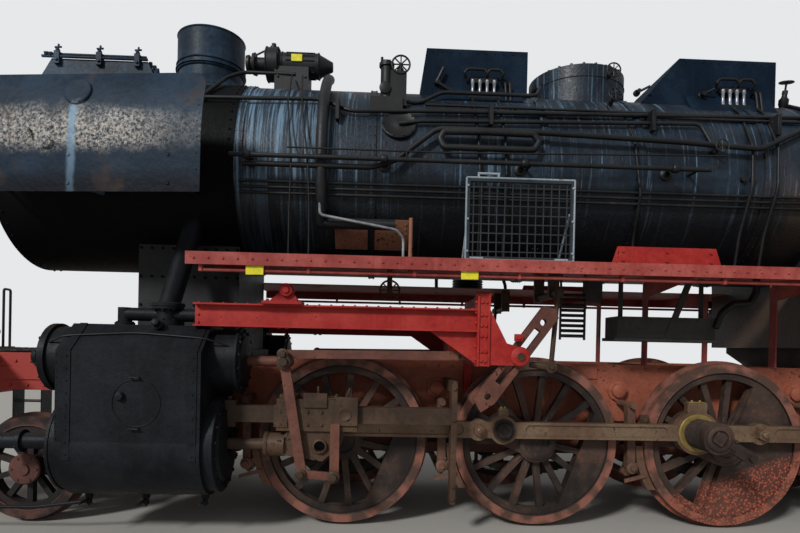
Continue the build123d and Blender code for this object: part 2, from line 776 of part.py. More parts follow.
gudgeon_r = 42
girder_h = 164
girder_z = valve_z + valve_case_r + part_gap + girder_h / 2 + 6
girder_y = 1240


def motion_bracket(side):
    """Girder from the cylinder, upright plates and the bracket that holds the link."""
    z = girder_z
    x0, x1 = case_x1 - 120, at(motion_x) - 30
    y = girder_y
    web = block(x0, x1, side * y, side * (y + 14), z - girder_h / 2, z + girder_h / 2)
    for edge in (-1, 1):
        web += block(x0, x1, side * (y - 70), side * (y + 70), z + edge * girder_h / 2 - 6, z + edge * girder_h / 2 + 6)
    mx = at(motion_x)
    upright = block(mx - 36, mx + 30, side * (frame_out_y + part_gap), side * (y + 78), rail_z + 1360, rail_z + 1900)
    upright -= block(mx - 37, mx + 31, side * (cylinder_y - 10), side * (cylinder_y + 90), rail_z + 1361, rail_z + 1530)
    foot = block(mx - 36, mx + 30, side * (frame_out_y + part_gap), side * (frame_out_y + 60), frame_low + 300,
                 rail_z + 1361)
    gusset = side_plate([(mx - 420, z - girder_h / 2), (mx - 35, z - girder_h / 2), (mx - 35, rail_z + 1365)],
                        side * y, side * (y + 14))
    wing = [(mx + 29, rail_z + 1830), (mx + 180, rail_z + 1540), (mx + 330, rail_z + 1500), (mx + 330, rail_z + 1370),
            (mx + 29, rail_z + 1370)]
    plates = side_plate(wing, side * (y - 50), side * (y - 36))
    plates += side_plate(wing, side * (y + 60), side * (y + 74))
    ear = rod_along_y(link_x, link_z, 62, side * (y + 60), side * (y + 110))
    ear += rod_along_y(link_x, link_z, 62, side * (y - 60), side * (y - 36))
    return web + upright + foot + gusset + plates + ear


link_x = at(motion_x) + 275
link_z = rail_z + 1440
link_lean = 36


def link_point(along, across):
    """Place on the leaning link: along its length upward, and across it to the rear."""
    a = math.radians(link_lean)
    return (link_x + along * math.sin(a) + across * math.cos(a), link_z + along * math.cos(a) - across * math.sin(a))


def expansion_link(side):
    """Slotted link hung in the bracket, its tail without an eccentric rod."""
    y0, y1 = side * (girder_y - 20), side * (girder_y + 45)
    solid = side_plate([link_point(-470, -75), link_point(430, -75), link_point(470, 0), link_point(430, 75),
                        link_point(-400, 75), link_point(-520, 30)], y0, y1)
    slot = side_plate([link_point(-260, -28), link_point(260, -28), link_point(260, 28), link_point(-260, 28)],
                      y0 - side, y1 + side)
    solid -= slot
    for along in (-390, 330):
        hx, hz = link_point(along, 0)
        solid -= rod_along_y(hx, hz, 26, y0 - side, y1 + side)
    solid += rod_along_y(link_x, link_z, 40, y1 - side, side * (girder_y + 60 - part_gap))
    solid += rod_along_y(link_x, link_z, 40, side * (girder_y - 36 + part_gap), y0 + side)
    return solid


def valve_gear(side):
    """Combination lever, union link, radius rod and valve spindle, all stopped where they stand."""
    y = cylinder_y
    top = (case_x1 + 545, valve_z + 60)
    foot = (crosshead_x - 92, rail_z + 500)
    spindle_x = top[0] + (foot[0] - top[0]) * (top[1] - valve_z) / (top[1] - foot[1])
    lever_y = side * (y + 95)
    lever_out = side * (y + 129)
    radius_out = side * (y + 62)
    union_end = (crosshead_x + 160, rail_z + 480)
    solid = strap(top, foot, 38, lever_y, lever_out)
    solid += rod_along_x(side * y, valve_z, 40, case_x1 + 190 + part_gap, spindle_x)
    solid += rod_along_y(spindle_x, valve_z, 52, side * (y - 45), side * (y + 150))
    solid += rod_along_y(top[0], top[1], 28, side * (y + 25), side * (y + 145))
    solid += strap(top, (link_x, link_z), 34, side * (y + 20), radius_out)
    solid += rod_along_y(link_x, link_z, 28, side * (y + 50), side * (girder_y - 60 - part_gap))
    solid += rod_along_y(foot[0], foot[1], 26, side * (y + 85), side * (y + 165))
    solid += strap(foot, union_end, 30, lever_out, side * (y + 155))
    arm = block(union_end[0] - 36, union_end[0] + 36, side * (y + 85 + part_gap), side * (y + 120), union_end[1],
                slide_z - 60)
    return solid + arm + rod_along_y(union_end[0], union_end[1], 40, side * (y + 85 + part_gap), side * (y + 165))


save("slide_bars", slide_bar(-1), slide_bar(1))
save("crossheads", crosshead(-1), crosshead(1))
save("motion_brackets", motion_bracket(-1), motion_bracket(1))
save("valve_gear", valve_gear(-1), valve_gear(1), expansion_link(-1), expansion_link(1))

# Smoke deflectors: sheets bent gently inward above their middle, their front ends closer in, on struts
deflector_y = 1452
deflector_t = 8
deflector_low = boiler_z - 460
deflector_top = boiler_z + 460
deflector_bend_z = boiler_z - 130
deflector_bend_r = 1500
deflector_corner_r = 120
deflector_splay = 6
deflector_x0 = at(-420)
deflector_x1 = at(1565)
strut_r = 16
strut_root_y = 600


def deflector_inner_y(x):
    """Inner face of the right sheet below its bend."""
    return deflector_y - (deflector_x1 - x) * math.tan(math.radians(deflector_splay))


def deflector_section():
    """Flat below and bent above, in Y and Z at the sheet's front end."""
    centre_y = deflector_y - deflector_bend_r
    rise = deflector_top - deflector_bend_z

    def spot(radius, share):
        """Point on the bend, from its foot to the sheet's top edge."""
        turn = math.asin(rise / radius) * share
        return (deflector_x0, centre_y + radius * math.cos(turn), deflector_bend_z + radius * math.sin(turn))

    inner, outer = deflector_bend_r, deflector_bend_r + deflector_t
    low_in = (deflector_x0, deflector_y, deflector_low)
    low_out = (deflector_x0, deflector_y + deflector_t, deflector_low)
    edges = [Edge.make_line(low_in, spot(inner, 0)),
             Edge.make_three_point_arc(spot(inner, 0), spot(inner, 0.5), spot(inner, 1)),
             Edge.make_line(spot(inner, 1), spot(outer, 1)),
             Edge.make_three_point_arc(spot(outer, 1), spot(outer, 0.5), spot(outer, 0)),
             Edge.make_line(spot(outer, 0), low_out), Edge.make_line(low_out, low_in)]
    return Face(Wire(edges))


def deflector(side):
    length = deflector_x1 - deflector_x0
    sheet = Solid.extrude(deflector_section(), Vector(length, 0, 0))
    r, steps = deflector_corner_r, 8
    for x, out in ((deflector_x0, 1), (deflector_x1, -1)):
        turns = [math.radians(90 * i / steps) for i in range(steps + 1)]
        curve = [(x + out * r * (1 - math.sin(a)), deflector_top - r * (1 - math.cos(a))) for a in turns]
        corner = [(x - out, curve[-1][1])] + curve[::-1] + [(curve[0][0], deflector_top + 1), (x - out, deflector_top + 1)]
        sheet -= side_plate(corner, 0, deflector_y + deflector_t + 1)
    sheet = Pos(deflector_x1, deflector_y, 0) * Rot(0, 0, deflector_splay) * Pos(-deflector_x1, -deflector_y, 0) * sheet
    for share in (0.12, 0.5, 0.88):
        x = deflector_x0 + share * length
        for root_z, z in ((boiler_z + 260, deflector_bend_z - 60), (boiler_z - 300, deflector_low + 60)):
            sheet += bar((x, strut_root_y, root_z), (x, deflector_inner_y(x) - 2, z), strut_r) - boiler_void()
    return sheet if side > 0 else other_side(sheet)


save("smoke_deflectors", deflector(-1), deflector(1))

# Running boards beside the boiler, with an angle along the edge and brackets from the frame
board_x0 = at(1480)
board_x1 = at(cab_front) - part_gap
board_t = 8
edge_h = 92
board_inner_y = 560


def running_board(side):
    deck = block(board_x0, board_x1, side * board_inner_y, side * board_y, board_z - board_t, board_z)
    deck += block(board_x0, board_x1, side * (board_y - 10), side * board_y, board_z - edge_h, board_z)
    return deck - boiler_void() - firebox_room()


def firebox_room():
    return block(at(firebox_front) - 5, at(firebox_rear), -boiler_r - part_gap, boiler_r + part_gap, rail_z + 1500,
                 boiler_z)


def board_brackets(side):
    """Upright plates from the frame's top out to the board's edge."""
    solid = None
    z = board_z - board_t
    low = frame_top + part_gap
    y_in, y_out = frame_out_y - 38, board_y - 12
    for station in (5300, 6500):
        x = at(station)
        gusset = cross_plate([(side * y_in, low), (side * (y_in + 90), low), (side * (y_in + 90), z - 160),
                              (side * y_out, z - 60), (side * y_out, z), (side * y_in, z)], x, x + 14)
        solid = gusset if solid is None else solid + gusset
    return solid


save("running_boards", *[running_board(side) + board_brackets(side) for side in (-1, 1)])

# Handrails and the larger pipes on the lagging
rail_y = 1036
handrail_z = boiler_z - 40


def handrail(side):
    y = side * rail_y
    solid = rod_along_x(y, handrail_z, 19, at(1660), at(5600))
    for station in (1800, 2900, 4100, 5500):
        post = bar((at(station), y, handrail_z), (at(station), side * (boiler_r - 20), handrail_z), 13)
        solid += post - boiler_void()
    return solid


feed_pipe_r = 46
line_r = 12


def crown_pipe():
    """Pipe down the lagging from the crown, then back along the board."""
    x = at(2385)
    path_r = boiler_r + band_t + 2 * line_r + 8 + feed_pipe_r
    arc_points = []
    for turn in (68, 18, -33):
        a = math.radians(turn)
        arc_points.append((x, -path_r * math.cos(a), boiler_z + path_r * math.sin(a)))
    arc = ThreePointArc(*arc_points)
    solid = sweep(Plane(arc @ 0, z_dir=arc % 0) * Circle(feed_pipe_r), path=arc)
    for turn in (50, 15, -26):
        a = math.radians(turn)
        inner, outer = boiler_r - 20, path_r
        clip = bar((x, -inner * math.cos(a), boiler_z + inner * math.sin(a)),
                   (x, -outer * math.cos(a), boiler_z + outer * math.sin(a)), 16)
        solid += clip - boiler_void()
    x_end, y_end, z_end = arc_points[-1]
    return solid + Pos(x_end, y_end, z_end) * Sphere(feed_pipe_r) + rod_along_x(y_end, z_end, feed_pipe_r, x, x + 620)


def side_pipes():
    """Oil and air lines that run the length of the boiler on the left."""
    solids = []
    out = boiler_r + band_t + line_r + part_gap
    # Columns: angle round the boiler, first station, last station
    for turn, a, b in ((38, 3250, 6700), (34, 3250, 6700), (-13, 1700, 6700), (-16, 1700, 6700), (-19, 1700, 6700)):
        angle = math.radians(turn)
        solids.append(rod_along_x(-out * math.cos(angle), boiler_z + out * math.sin(angle), line_r, at(a), at(b)))
    return solids


save("handrails", handrail(-1), handrail(1))
save("boiler_pipes", crown_pipe(), *side_pipes())

# Mesh guard on the left board, and what stands on the right board
guard_x0 = at(3515)
guard_x1 = at(4340)
guard_h = 620
guard_y = 1400


def mesh_guard():
    z0, z1 = board_z + part_gap, board_z + guard_h
    y = -guard_y
    solid = block(guard_x0, guard_x1, y - 15, y + 15, z0, z1)
    solid -= block(guard_x0 + 30, guard_x1 - 30, y - 16, y + 16, z0 + 30, z1 - 30)
    columns, rows = 14, 9
    for n in range(1, columns):
        x = guard_x0 + (guard_x1 - guard_x0) * n / columns
        solid += block(x - 4, x + 4, y - 4, y + 4, z0 + 20, z1 - 20)
    for n in range(1, rows):
        z = z0 + (z1 - z0) * n / rows
        solid += block(guard_x0 + 20, guard_x1 - 20, y - 4, y + 4, z - 4, z + 4)
    return solid


def air_pump():
    """Upright pump on the right board: steam cylinder above two air cylinders."""
    x, y = at(3950), 1235
    z = board_z + part_gap
    solid = rod_along_z(x, y, 175, z, z + 420)
    solid += rod_along_z(x, y, 70, z + 419, z + 560)
    solid += rod_along_z(x, y, 150, z + 559, z + 900)
    solid += rod_along_z(x, y, 195, z + 380, z + 420)
    return solid


def reservoir(side):
    """Air tank lengthwise under the board, on two straps from the board."""
    y, z, r = side * 1150, rail_z + 1850, 230
    x0, x1 = at(7000), at(8700)
    solid = rod_along_x(y, z, r, x0, x1)
    for x in (x0 + 250, x1 - 290):
        solid += rod_along_x(y, z, r + 10, x, x + 40)
        solid += block(x, x + 40, y - 60, y + 60, z + r - 5, board_z - board_t - part_gap)
    return solid


save("mesh_guard", mesh_guard())
save("air_pump", air_pump())
save("air_reservoirs", reservoir(-1), reservoir(1))

# Brake hangers and shoes before each coupled wheel
shoe_gap = 9
shoe_drop = 210


def brake(x, side):
    """Hanger from the frame with its shoe on the front of the tread."""
    y0, y1 = side * (wheel_back_y + 45), side * (wheel_face_y - 15)
    shoe_z = axle_z - shoe_drop
    ring = rod_along_y(x, axle_z, coupled_r + shoe_gap + 60, y0, y1)
    ring -= rod_along_y(x, axle_z, coupled_r + shoe_gap, y0 - side, y1 + side)
    reach = math.sqrt((coupled_r + 40) ** 2 - shoe_drop ** 2)
    shoe = ring & block(x - coupled_r - 150, x - 300, y0 - side, y1 + side, shoe_z - 190, shoe_z + 190)
    hx = x - reach - 95
    pivot_z = axle_z + 330
    hanger = strap((hx, shoe_z), (hx - 10, pivot_z), 34, y0, y1)
    hanger += rod_along_y(hx - 10, pivot_z, 30, side * (frame_out_y + part_gap), y1 + side * 30)
    hanger += block(hx - 20, x - reach - 35, y0, y1, shoe_z - 40, shoe_z + 40)
    return shoe + hanger


save("brake_gear", *[brake(x, side) for x in coupled_x for side in (-1, 1)])

# Leading truck: a frame that swings about a pin ahead of the first coupled axle
truck_y = 430


def truck_frame():
    z = lead_axle_z
    solid = block(lead_x - 260, lead_x + 300, -truck_y, -truck_y + 60, z - 130, z + 190)
    solid += block(lead_x - 260, lead_x + 300, truck_y - 60, truck_y, z - 130, z + 190)
    solid += block(lead_x - 260, lead_x - 220, -truck_y, truck_y, z - 60, z + 190)
    arms = make_face(Polyline((lead_x + 220, -truck_y, z + 60), (lead_x + 300, -truck_y, z + 60),
                              (truck_pivot_x + 60, -90, z + 60), (truck_pivot_x + 60, 90, z + 60),
                              (lead_x + 300, truck_y, z + 60), (lead_x + 220, truck_y, z + 60), close=True))
    solid += extrude(arms, amount=60, dir=(0, 0, 1))
    solid += rod_along_z(truck_pivot_x, 0, 110, z + 20, z + 160)
    solid -= rod_along_z(truck_pivot_x, 0, truck_pin_r + pin_play, z, z + 161)
    for side in (-1, 1):
        y0, y1 = side * (truck_y - 90), side * (truck_y + 25)
        solid += block(lead_x - 110, lead_x + 110, y0, y1, z - 130, z + 150)
    for side in (-1, 1):
        solid -= rod_along_y(lead_x, z, axle_r - 10 + pin_play, side * (truck_y - 100), side * (truck_y + 40))
    return solid


save("truck_frame", truck_frame())

# Cab: floor, four walls with windows, roof, doors, and the fittings on the firebox
cab_x0 = at(cab_front)
cab_x1 = at(cab_rear)
side_low = cab_floor_z - 180
door_w = 620
door_x1 = cab_x1 - 120
door_x0 = door_x1 - door_w
door_head = cab_floor_z + 1880
door_t = 26
door_h = 1050
door_axis_x = door_x0 + 4
door_axis_y = cab_y - cab_wall
door_pin_r = 6
door_eye_half = 40
door_hinge_heights = (cab_floor_z + 200, cab_floor_z + 850)
window_low = cab_floor_z + 950
window_top = cab_floor_z + 1480
roof_out = 60
arch_r = ((cab_y + roof_out) ** 2 + roof_rise ** 2) / (2 * roof_rise)
arch_z = cab_eaves_z + roof_rise - arch_r


def under_roof(x0, x1):
    """Everything below the roof's inner face, for walls that meet it."""
    return rod_along_x(0, arch_z, arch_r - part_gap, x0 - 1, x1 + 1)


def cab_floor():
    return block(cab_x0 + cab_wall + part_gap, cab_x1 - part_gap, -cab_y + cab_wall + part_gap,
                 cab_y - cab_wall - part_gap, cab_floor_z - 40, cab_floor_z) - firebox_and_gap()


def firebox_and_gap():
    return block(at(firebox_front), at(firebox_rear) + part_gap, -boiler_r - part_gap, boiler_r + part_gap, rail_z,
                 boiler_z) + boiler_back_void()


def boiler_back_void():
    return rod_along_x(0, boiler_z, boiler_r + part_gap, at(firebox_front), at(firebox_rear) + part_gap)


def cab_front_wall():
    low = side_low
    wall = block(cab_x0, cab_x0 + cab_wall, -cab_y + cab_wall + part_gap, cab_y - cab_wall - part_gap, low,
                 cab_eaves_z + roof_rise)
    for side in (-1, 1):
        wall -= block(cab_x0 - 1, cab_x0 + cab_wall + 1, side * 1010, side * 1350, window_low - 50, window_top + 60)
    return (wall & under_roof(cab_x0, cab_x0 + cab_wall)) - firebox_and_gap()


def cab_side(side):
    y0, y1 = side * (cab_y - cab_wall), side * cab_y
    wall = block(cab_x0, cab_x1, y0, y1, side_low, cab_eaves_z + 100)
    wall -= block(cab_x0 + 180, cab_x0 + 620, y0 - side, y1 + side, window_low, window_top)
    wall -= block(cab_x0 + 680, cab_x0 + 1120, y0 - side, y1 + side, window_low, window_top)
    wall -= block(door_x0 - 12, door_x1 + 5, y0 - side, y1 + side, cab_floor_z - 5, door_head + 5)
    return (wall & under_roof(cab_x0, cab_x1)) + door_lugs(side)


def door_lugs(side):
    """Lugs and pins that the low door hangs on."""
    lugs = None
    for z in door_hinge_heights:
        part = rod_along_z(door_axis_x, side * door_axis_y, door_pin_r, z - door_eye_half - 20, z + door_eye_half + 20)
        for out in (-1, 1):
            z0, z1 = sorted((z + out * (door_eye_half + 1), z + out * (door_eye_half + 20)))
            part += block(door_x0 - 45, door_axis_x - 0.5, side * (door_axis_y - 14), side * door_axis_y, z0, z1)
        lugs = part if lugs is None else lugs + part
    return lugs


def cab_rear_wall():
    """Two returns beside the open way to the tender, and a strip under the roof."""
    wall = block(cab_x1 + part_gap, cab_x1 + cab_wall, -cab_y, cab_y, side_low, cab_eaves_z + roof_rise)
    wall -= block(cab_x1 - 1, cab_x1 + cab_wall + 1, -900, 900, side_low - 1, cab_eaves_z - 60)
    for side in (-1, 1):
        wall -= block(cab_x1 - 1, cab_x1 + cab_wall + 1, side * 1000, side * 1350, window_low, window_top)
    return wall & under_roof(cab_x1, cab_x1 + cab_wall)


def cab_roof():
    """Arched sheet with gutters and a raised ventilator."""
    x0, x1 = cab_x0 - 70, tail_x - 20
    shell = rod_along_x(0, arch_z, arch_r + roof_t, x0, x1) - rod_along_x(0, arch_z, arch_r, x0 - 1, x1 + 1)
    roof = shell & block(x0 - 1, x1 + 1, -cab_y - roof_out, cab_y + roof_out, cab_eaves_z, cab_eaves_z + roof_rise + 60)
    top = arch_z + arch_r + roof_t
    vent = block(cab_x0 + 500, cab_x0 + 1300, -420, 420, top - 80, top + 70)
    vent -= rod_along_x(0, arch_z, arch_r + roof_t - 5, x0, x1)
    return roof + vent


def cab_door(side):
    """Low door in the side wall, hinged at its front edge."""
    y0, y1 = side * (cab_y - cab_wall), side * (cab_y - cab_wall + door_t)
    leaf = block(door_axis_x, door_x1 - 2, y0, y1, cab_floor_z + 4, cab_floor_z + door_h)
    for z in door_hinge_heights:
        leaf += rod_along_z(door_axis_x, side * door_axis_y, 14, z - door_eye_half, z + door_eye_half)
        leaf -= rod_along_z(door_axis_x, side * door_axis_y, door_pin_r + pin_play, z - door_eye_half - 22,
                            z + door_eye_half + 22)
    return leaf + rod_along_y(door_x1 - 60, cab_floor_z + 880, 14, y0 - side * 60, y0 + side)


def cab_glass():
    panes = []
    t = 6
    for side in (-1, 1):
        y = side * (cab_y - cab_wall / 2)
        for x0 in (cab_x0 + 180, cab_x0 + 680):
            panes.append(block(x0 + part_gap, x0 + 440 - part_gap, y - t / 2, y + t / 2, window_low + part_gap,
                               window_top - part_gap))
        x = cab_x0 + cab_wall / 2
        ya, yb = sorted((side * (1010 + part_gap), side * (1350 - part_gap)))
        panes.append(block(x - t / 2, x + t / 2, ya, yb, window_low - 50 + part_gap, window_top + 60 - part_gap))
        x = cab_x1 + cab_wall / 2
        ya, yb = sorted((side * (1000 + part_gap), side * (1350 - part_gap)))
        panes.append(block(x - t / 2, x + t / 2, ya, yb, window_low + part_gap, window_top - part_gap))
    return panes


save("cab_floor", cab_floor())
save("cab_end_walls", cab_front_wall(), cab_rear_wall())
save("cab_sides", cab_side(-1), cab_side(1))
save("cab_roof", cab_roof())
save("cab_door_left", cab_door(-1))
save("cab_door_right", cab_door(1))
save("cab_glass", *cab_glass())


def cab_fittings():
    """Regulator, gauges and pipes on the back of the firebox."""
    x = at(firebox_rear) + part_gap
    solid = block(x, x + 60, -500, 500, boiler_z + 350, boiler_z + 470)
    solid += rod_along_x(0, boiler_z + 200, 40, x, x + 150)
    solid += bar((x + 130, 0, boiler_z + 200), (x + 130, -420, boiler_z + 60), 18)
    for y in (-330, 330):
        solid += rod_along_z(x + 60, y, 22, boiler_z - 200, boiler_z + 100)
        for z in (-180, 80):
            solid += rod_along_x(y, boiler_z + z, 30, x, x + 90)
    solid += rod_along_z(x + 30, 0, 30, boiler_z + 200, boiler_z + 351)
    solid += block(x, x + 30, -330, 330, boiler_z + 80, boiler_z + 120)
    return solid


def reverser(side):
    """Handwheel on its stand at the driver's side."""
    x, y = at(firebox_rear) - 130, side * 1170
    stand = block(x - 60, x + 60, y - 50, y + 50, cab_floor_z + part_gap, cab_floor_z + 820)
    wheel_ring = rod_along_x(y, cab_floor_z + 860, 210, x + 80, x + 110) - rod_along_x(y, cab_floor_z + 860, 180, x + 79,
                                                                                     x + 111)
    hub = rod_along_x(y, cab_floor_z + 860, 36, x - 80, x + 115)
    for turn in (0, 60, 120):
        hub += Pos(x + 95, y, cab_floor_z + 860) * Rot(turn, 0, 0) * Box(20, 370, 18)
    return stand + wheel_ring + hub + block(x - 60, x + 60, y - 50, y + 50, cab_floor_z + 780, cab_floor_z + 880)


def cab_seat(side):
    x, y = at(firebox_rear) + 420, side * 1180
    seat = block(x - 190, x + 190, y - 190, y + 190, cab_floor_z + 520, cab_floor_z + 580)
    seat += block(x - 40, x + 40, y - 40, y + 40, cab_floor_z + part_gap, cab_floor_z + 521)
    return seat + block(x + 150, x + 190, y - 190, y + 190, cab_floor_z + 579, cab_floor_z + 860)


def fire_door():
    """Flap hung across the top of the fire hole, which tips inward."""
    x = at(firebox_rear)
    flap = block(x - 30, x - 6, -fire_hole_w / 2 + 6, fire_hole_w / 2 - 6, fire_hole_low + 6, fire_hole_top - 30)
    flap += rod_along_y(x - 18, fire_hole_top - 24, 16, -fire_hole_w / 2 + part_gap,
                        fire_hole_w / 2 - part_gap)
    return flap + block(x - 8, x + 60, -14, 14, fire_hole_low + 60, fire_hole_low + 80)


save("cab_fittings", cab_fittings())
save("cab_furniture", reverser(1), cab_seat(-1), cab_seat(1))
save("fire_door", fire_door())

# Rear drag box with the drawbar's hole, cab steps, and the lamps at the front
drag_hole_r = 52


def drag_box():
    x0, x1 = frame_rear_x + part_gap, tail_x
    solid = block(x0, x1, -1250, 1250, rail_z + 880, frame_top - 60)
    solid -= block(x0 + 20, x1 + 1, -260, 260, rail_z + 960, rail_z + 1240)
    solid += block(frame_rear_x - 400, x0 + 1, -frame_y + part_gap, frame_y - part_gap, rail_z + 1240, rail_z + 1290)
    solid += block(frame_rear_x - 400, x0 + 1, -frame_y + part_gap, frame_y - part_gap, rail_z + 900, rail_z + 950)
    solid -= rod_along_z(frame_rear_x - 180, 0, drag_hole_r, rail_z + 880, rail_z + 1300)
    return solid


def cab_steps(side):
    """Ladder under the cab door."""
    x0, x1 = door_x0 + 40, door_x1 - 40
    y0, y1 = side * 1230, side * (cab_y - 60)
    low, high = rail_z + 420, cab_floor_z - 40 - part_gap
    solid = block(x0, x0 + 12, y0, y1, low, high) + block(x1 - 12, x1, y0, y1, low, high)
    for n in range(4):
        z = low + 10 + n * (high - low - 150) / 3.4
        solid += block(x0, x1, y0, y1, z, z + 14)
    return solid


def cab_bearers():
    """Beams from the frame out to the cab's floor, with the steps hung from the rear one."""
    top = cab_floor_z - 40 - part_gap
    solids = []
    for x in (cab_x0 + 560, cab_x1 - 160):
        beam = block(x - 40, x + 40, -cab_y + cab_wall + 1, cab_y - cab_wall - 1, top - 90, top)
        beam += block(x - 40, x + 40, -frame_out_y, frame_out_y, frame_top + part_gap, top - 89)
        solids.append(beam)
    return [solids[0], solids[1] + cab_steps(-1) + cab_steps(1)]


def lamp(x, y, z):
    """Lamp with its hood on a bracket."""
    body = rod_along_x(y, z, 95, x - 60, x + 90)
    body += rod_along_x(y, z, 108, x - 80, x - 59) - rod_along_x(y, z, 90, x - 81, x - 58)
    return body + block(x + 20, x + 50, y - 20, y + 20, z - 170, z - 60)


lamp_z = beam_top + part_gap + 170
save("drag_box", drag_box())
save("cab_bearers", *cab_bearers())
save("front_lamps", *[lamp(beam_x - 30, side * 950, lamp_z) for side in (-1, 1)])
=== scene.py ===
import json
from functools import partial
from math import asin, cos, pi, radians, sin, sqrt, tan, tau
import bpy
import bmesh
from mathutils import Matrix, Vector

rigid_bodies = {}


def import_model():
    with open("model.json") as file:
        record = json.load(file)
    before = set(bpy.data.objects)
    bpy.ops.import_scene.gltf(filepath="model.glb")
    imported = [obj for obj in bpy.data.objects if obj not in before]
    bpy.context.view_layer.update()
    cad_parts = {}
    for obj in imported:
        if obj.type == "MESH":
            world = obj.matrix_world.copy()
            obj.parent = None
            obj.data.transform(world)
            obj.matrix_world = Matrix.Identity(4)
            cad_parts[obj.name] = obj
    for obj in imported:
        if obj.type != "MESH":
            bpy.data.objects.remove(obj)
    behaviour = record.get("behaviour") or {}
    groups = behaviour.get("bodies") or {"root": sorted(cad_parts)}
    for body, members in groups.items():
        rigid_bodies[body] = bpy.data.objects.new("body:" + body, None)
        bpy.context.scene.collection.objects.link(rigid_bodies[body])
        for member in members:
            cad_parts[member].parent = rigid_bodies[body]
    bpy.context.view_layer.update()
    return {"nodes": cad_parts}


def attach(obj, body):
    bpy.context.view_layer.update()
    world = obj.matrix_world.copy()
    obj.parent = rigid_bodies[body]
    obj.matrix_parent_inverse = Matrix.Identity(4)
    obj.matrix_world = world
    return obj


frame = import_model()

# Viewpoint: a wide lens at a standing person's eye height, 4.2 m from the engine's left side, a little behind its
# front wheels. The frame is 800 by 533, with the lens raised to keep the wheels upright.
yaw, pitch, roll = (radians(a) for a in (2.19, -0.337, 1.219))
ahead = Vector((sin(yaw) * cos(pitch), cos(yaw) * cos(pitch), sin(pitch)))
level = Vector((cos(yaw), -sin(yaw), 0))
above = level.cross(ahead)
across = level * cos(roll) + above * sin(roll)
upward = above * cos(roll) - level * sin(roll)
viewpoint = bpy.data.objects.new("viewpoint", bpy.data.cameras.new("viewpoint"))
viewpoint.data.sensor_width = 36.0
viewpoint.data.lens = 25.6
viewpoint.data.shift_y = 0.1038
viewpoint.matrix_world = Matrix((across, upward, -ahead)).transposed().to_4x4()
viewpoint.location = (-1.8157, -5.6441, 1.5284)
shown = bpy.context.scene.collection.objects
shown.link(viewpoint)
bpy.context.scene.camera = viewpoint
bpy.context.scene.view_settings.view_transform = "Standard"


# Floor: a pale matt studio floor that runs out to the horizon, lit by one broad high lamp ahead of the engine and by
# soft light from all round. The camera sees the same pale tone behind the engine.
def linear(colour):
    """Six hex digits of sRGB, as the linear colour that a shader takes."""
    parts = [int(colour[i:i + 2], 16) / 255 for i in (0, 2, 4)]
    return [p / 12.92 if p <= 0.04045 else ((p + 0.055) / 1.055) ** 2.4 for p in parts] + [1.0]


def node(tree, kind, inputs=None, settings=None):
    """Adds a node, gives it its settings, and sets or links its inputs, where a string is a colour."""
    made = tree.nodes.new("ShaderNode" + kind)
    for key, value in (settings or {}).items():
        setattr(made, key, value)
    for key, value in (inputs or {}).items():
        if isinstance(value, bpy.types.NodeSocket):
            tree.links.new(value, made.inputs[key])
        else:
            made.inputs[key].default_value = linear(value) if isinstance(value, str) else value
    return made.outputs


def fresh(name):
    """New material with an empty node tree, and the function that adds to it."""
    made = bpy.data.materials.new(name)
    made.use_nodes = True
    made.node_tree.nodes.clear()
    return made, partial(node, made.node_tree)


floor_paint, add = fresh("pale matt floor paint")
shade = add("BsdfPrincipled", {"Base Color": "a8a59e", "Roughness": 0.9, "Specular IOR Level": 0.2})
add("OutputMaterial", {"Surface": shade[0]})
ground = bmesh.new()
bmesh.ops.create_grid(ground, x_segments=1, y_segments=1, size=60.0)
ground_mesh = bpy.data.meshes.new("floor")
ground.to_mesh(ground_mesh)
ground_mesh.materials.append(floor_paint)
floor = bpy.data.objects.new("floor", ground_mesh)
shown.link(floor)

studio = bpy.data.worlds.new("studio")
studio.use_nodes = True
studio.node_tree.nodes.clear()
add = partial(node, studio.node_tree)
rays = add("LightPath")
seen = add("Math", {0: rays["Is Camera Ray"], 1: rays["Is Transmission Ray"]}, {"operation": "MAXIMUM"})
soft = add("Background", {"Color": "f4f6fa", "Strength": 0.42})
back = add("Background", {"Color": "e6e8ea", "Strength": 1.0})
mixed = add("MixShader", {0: seen[0], 1: soft[0], 2: back[0]})
add("OutputWorld", {"Surface": mixed[0]})
bpy.context.scene.world = studio

lamp = bpy.data.objects.new("broad_lamp", bpy.data.lights.new("broad_lamp", "SUN"))
lamp.data.energy = 2.5
lamp.data.angle = radians(9)
lamp.rotation_mode = "QUATERNION"
lamp.rotation_quaternion = Vector((-0.5, -0.68, 0.54)).to_track_quat("Z", "Y")
shown.link(lamp)


# Main frame: two thick steel plates, flame cut and riveted to their stretchers, painted a red lead brown that has
# chalked, with brighter red on the front end and black oil and brake dust low down.
in_colour, eased = {"data_type": "RGBA"}, {"interpolation_type": "SMOOTHSTEP"}
times, times_plus = {"operation": "MULTIPLY"}, {"operation": "MULTIPLY_ADD"}


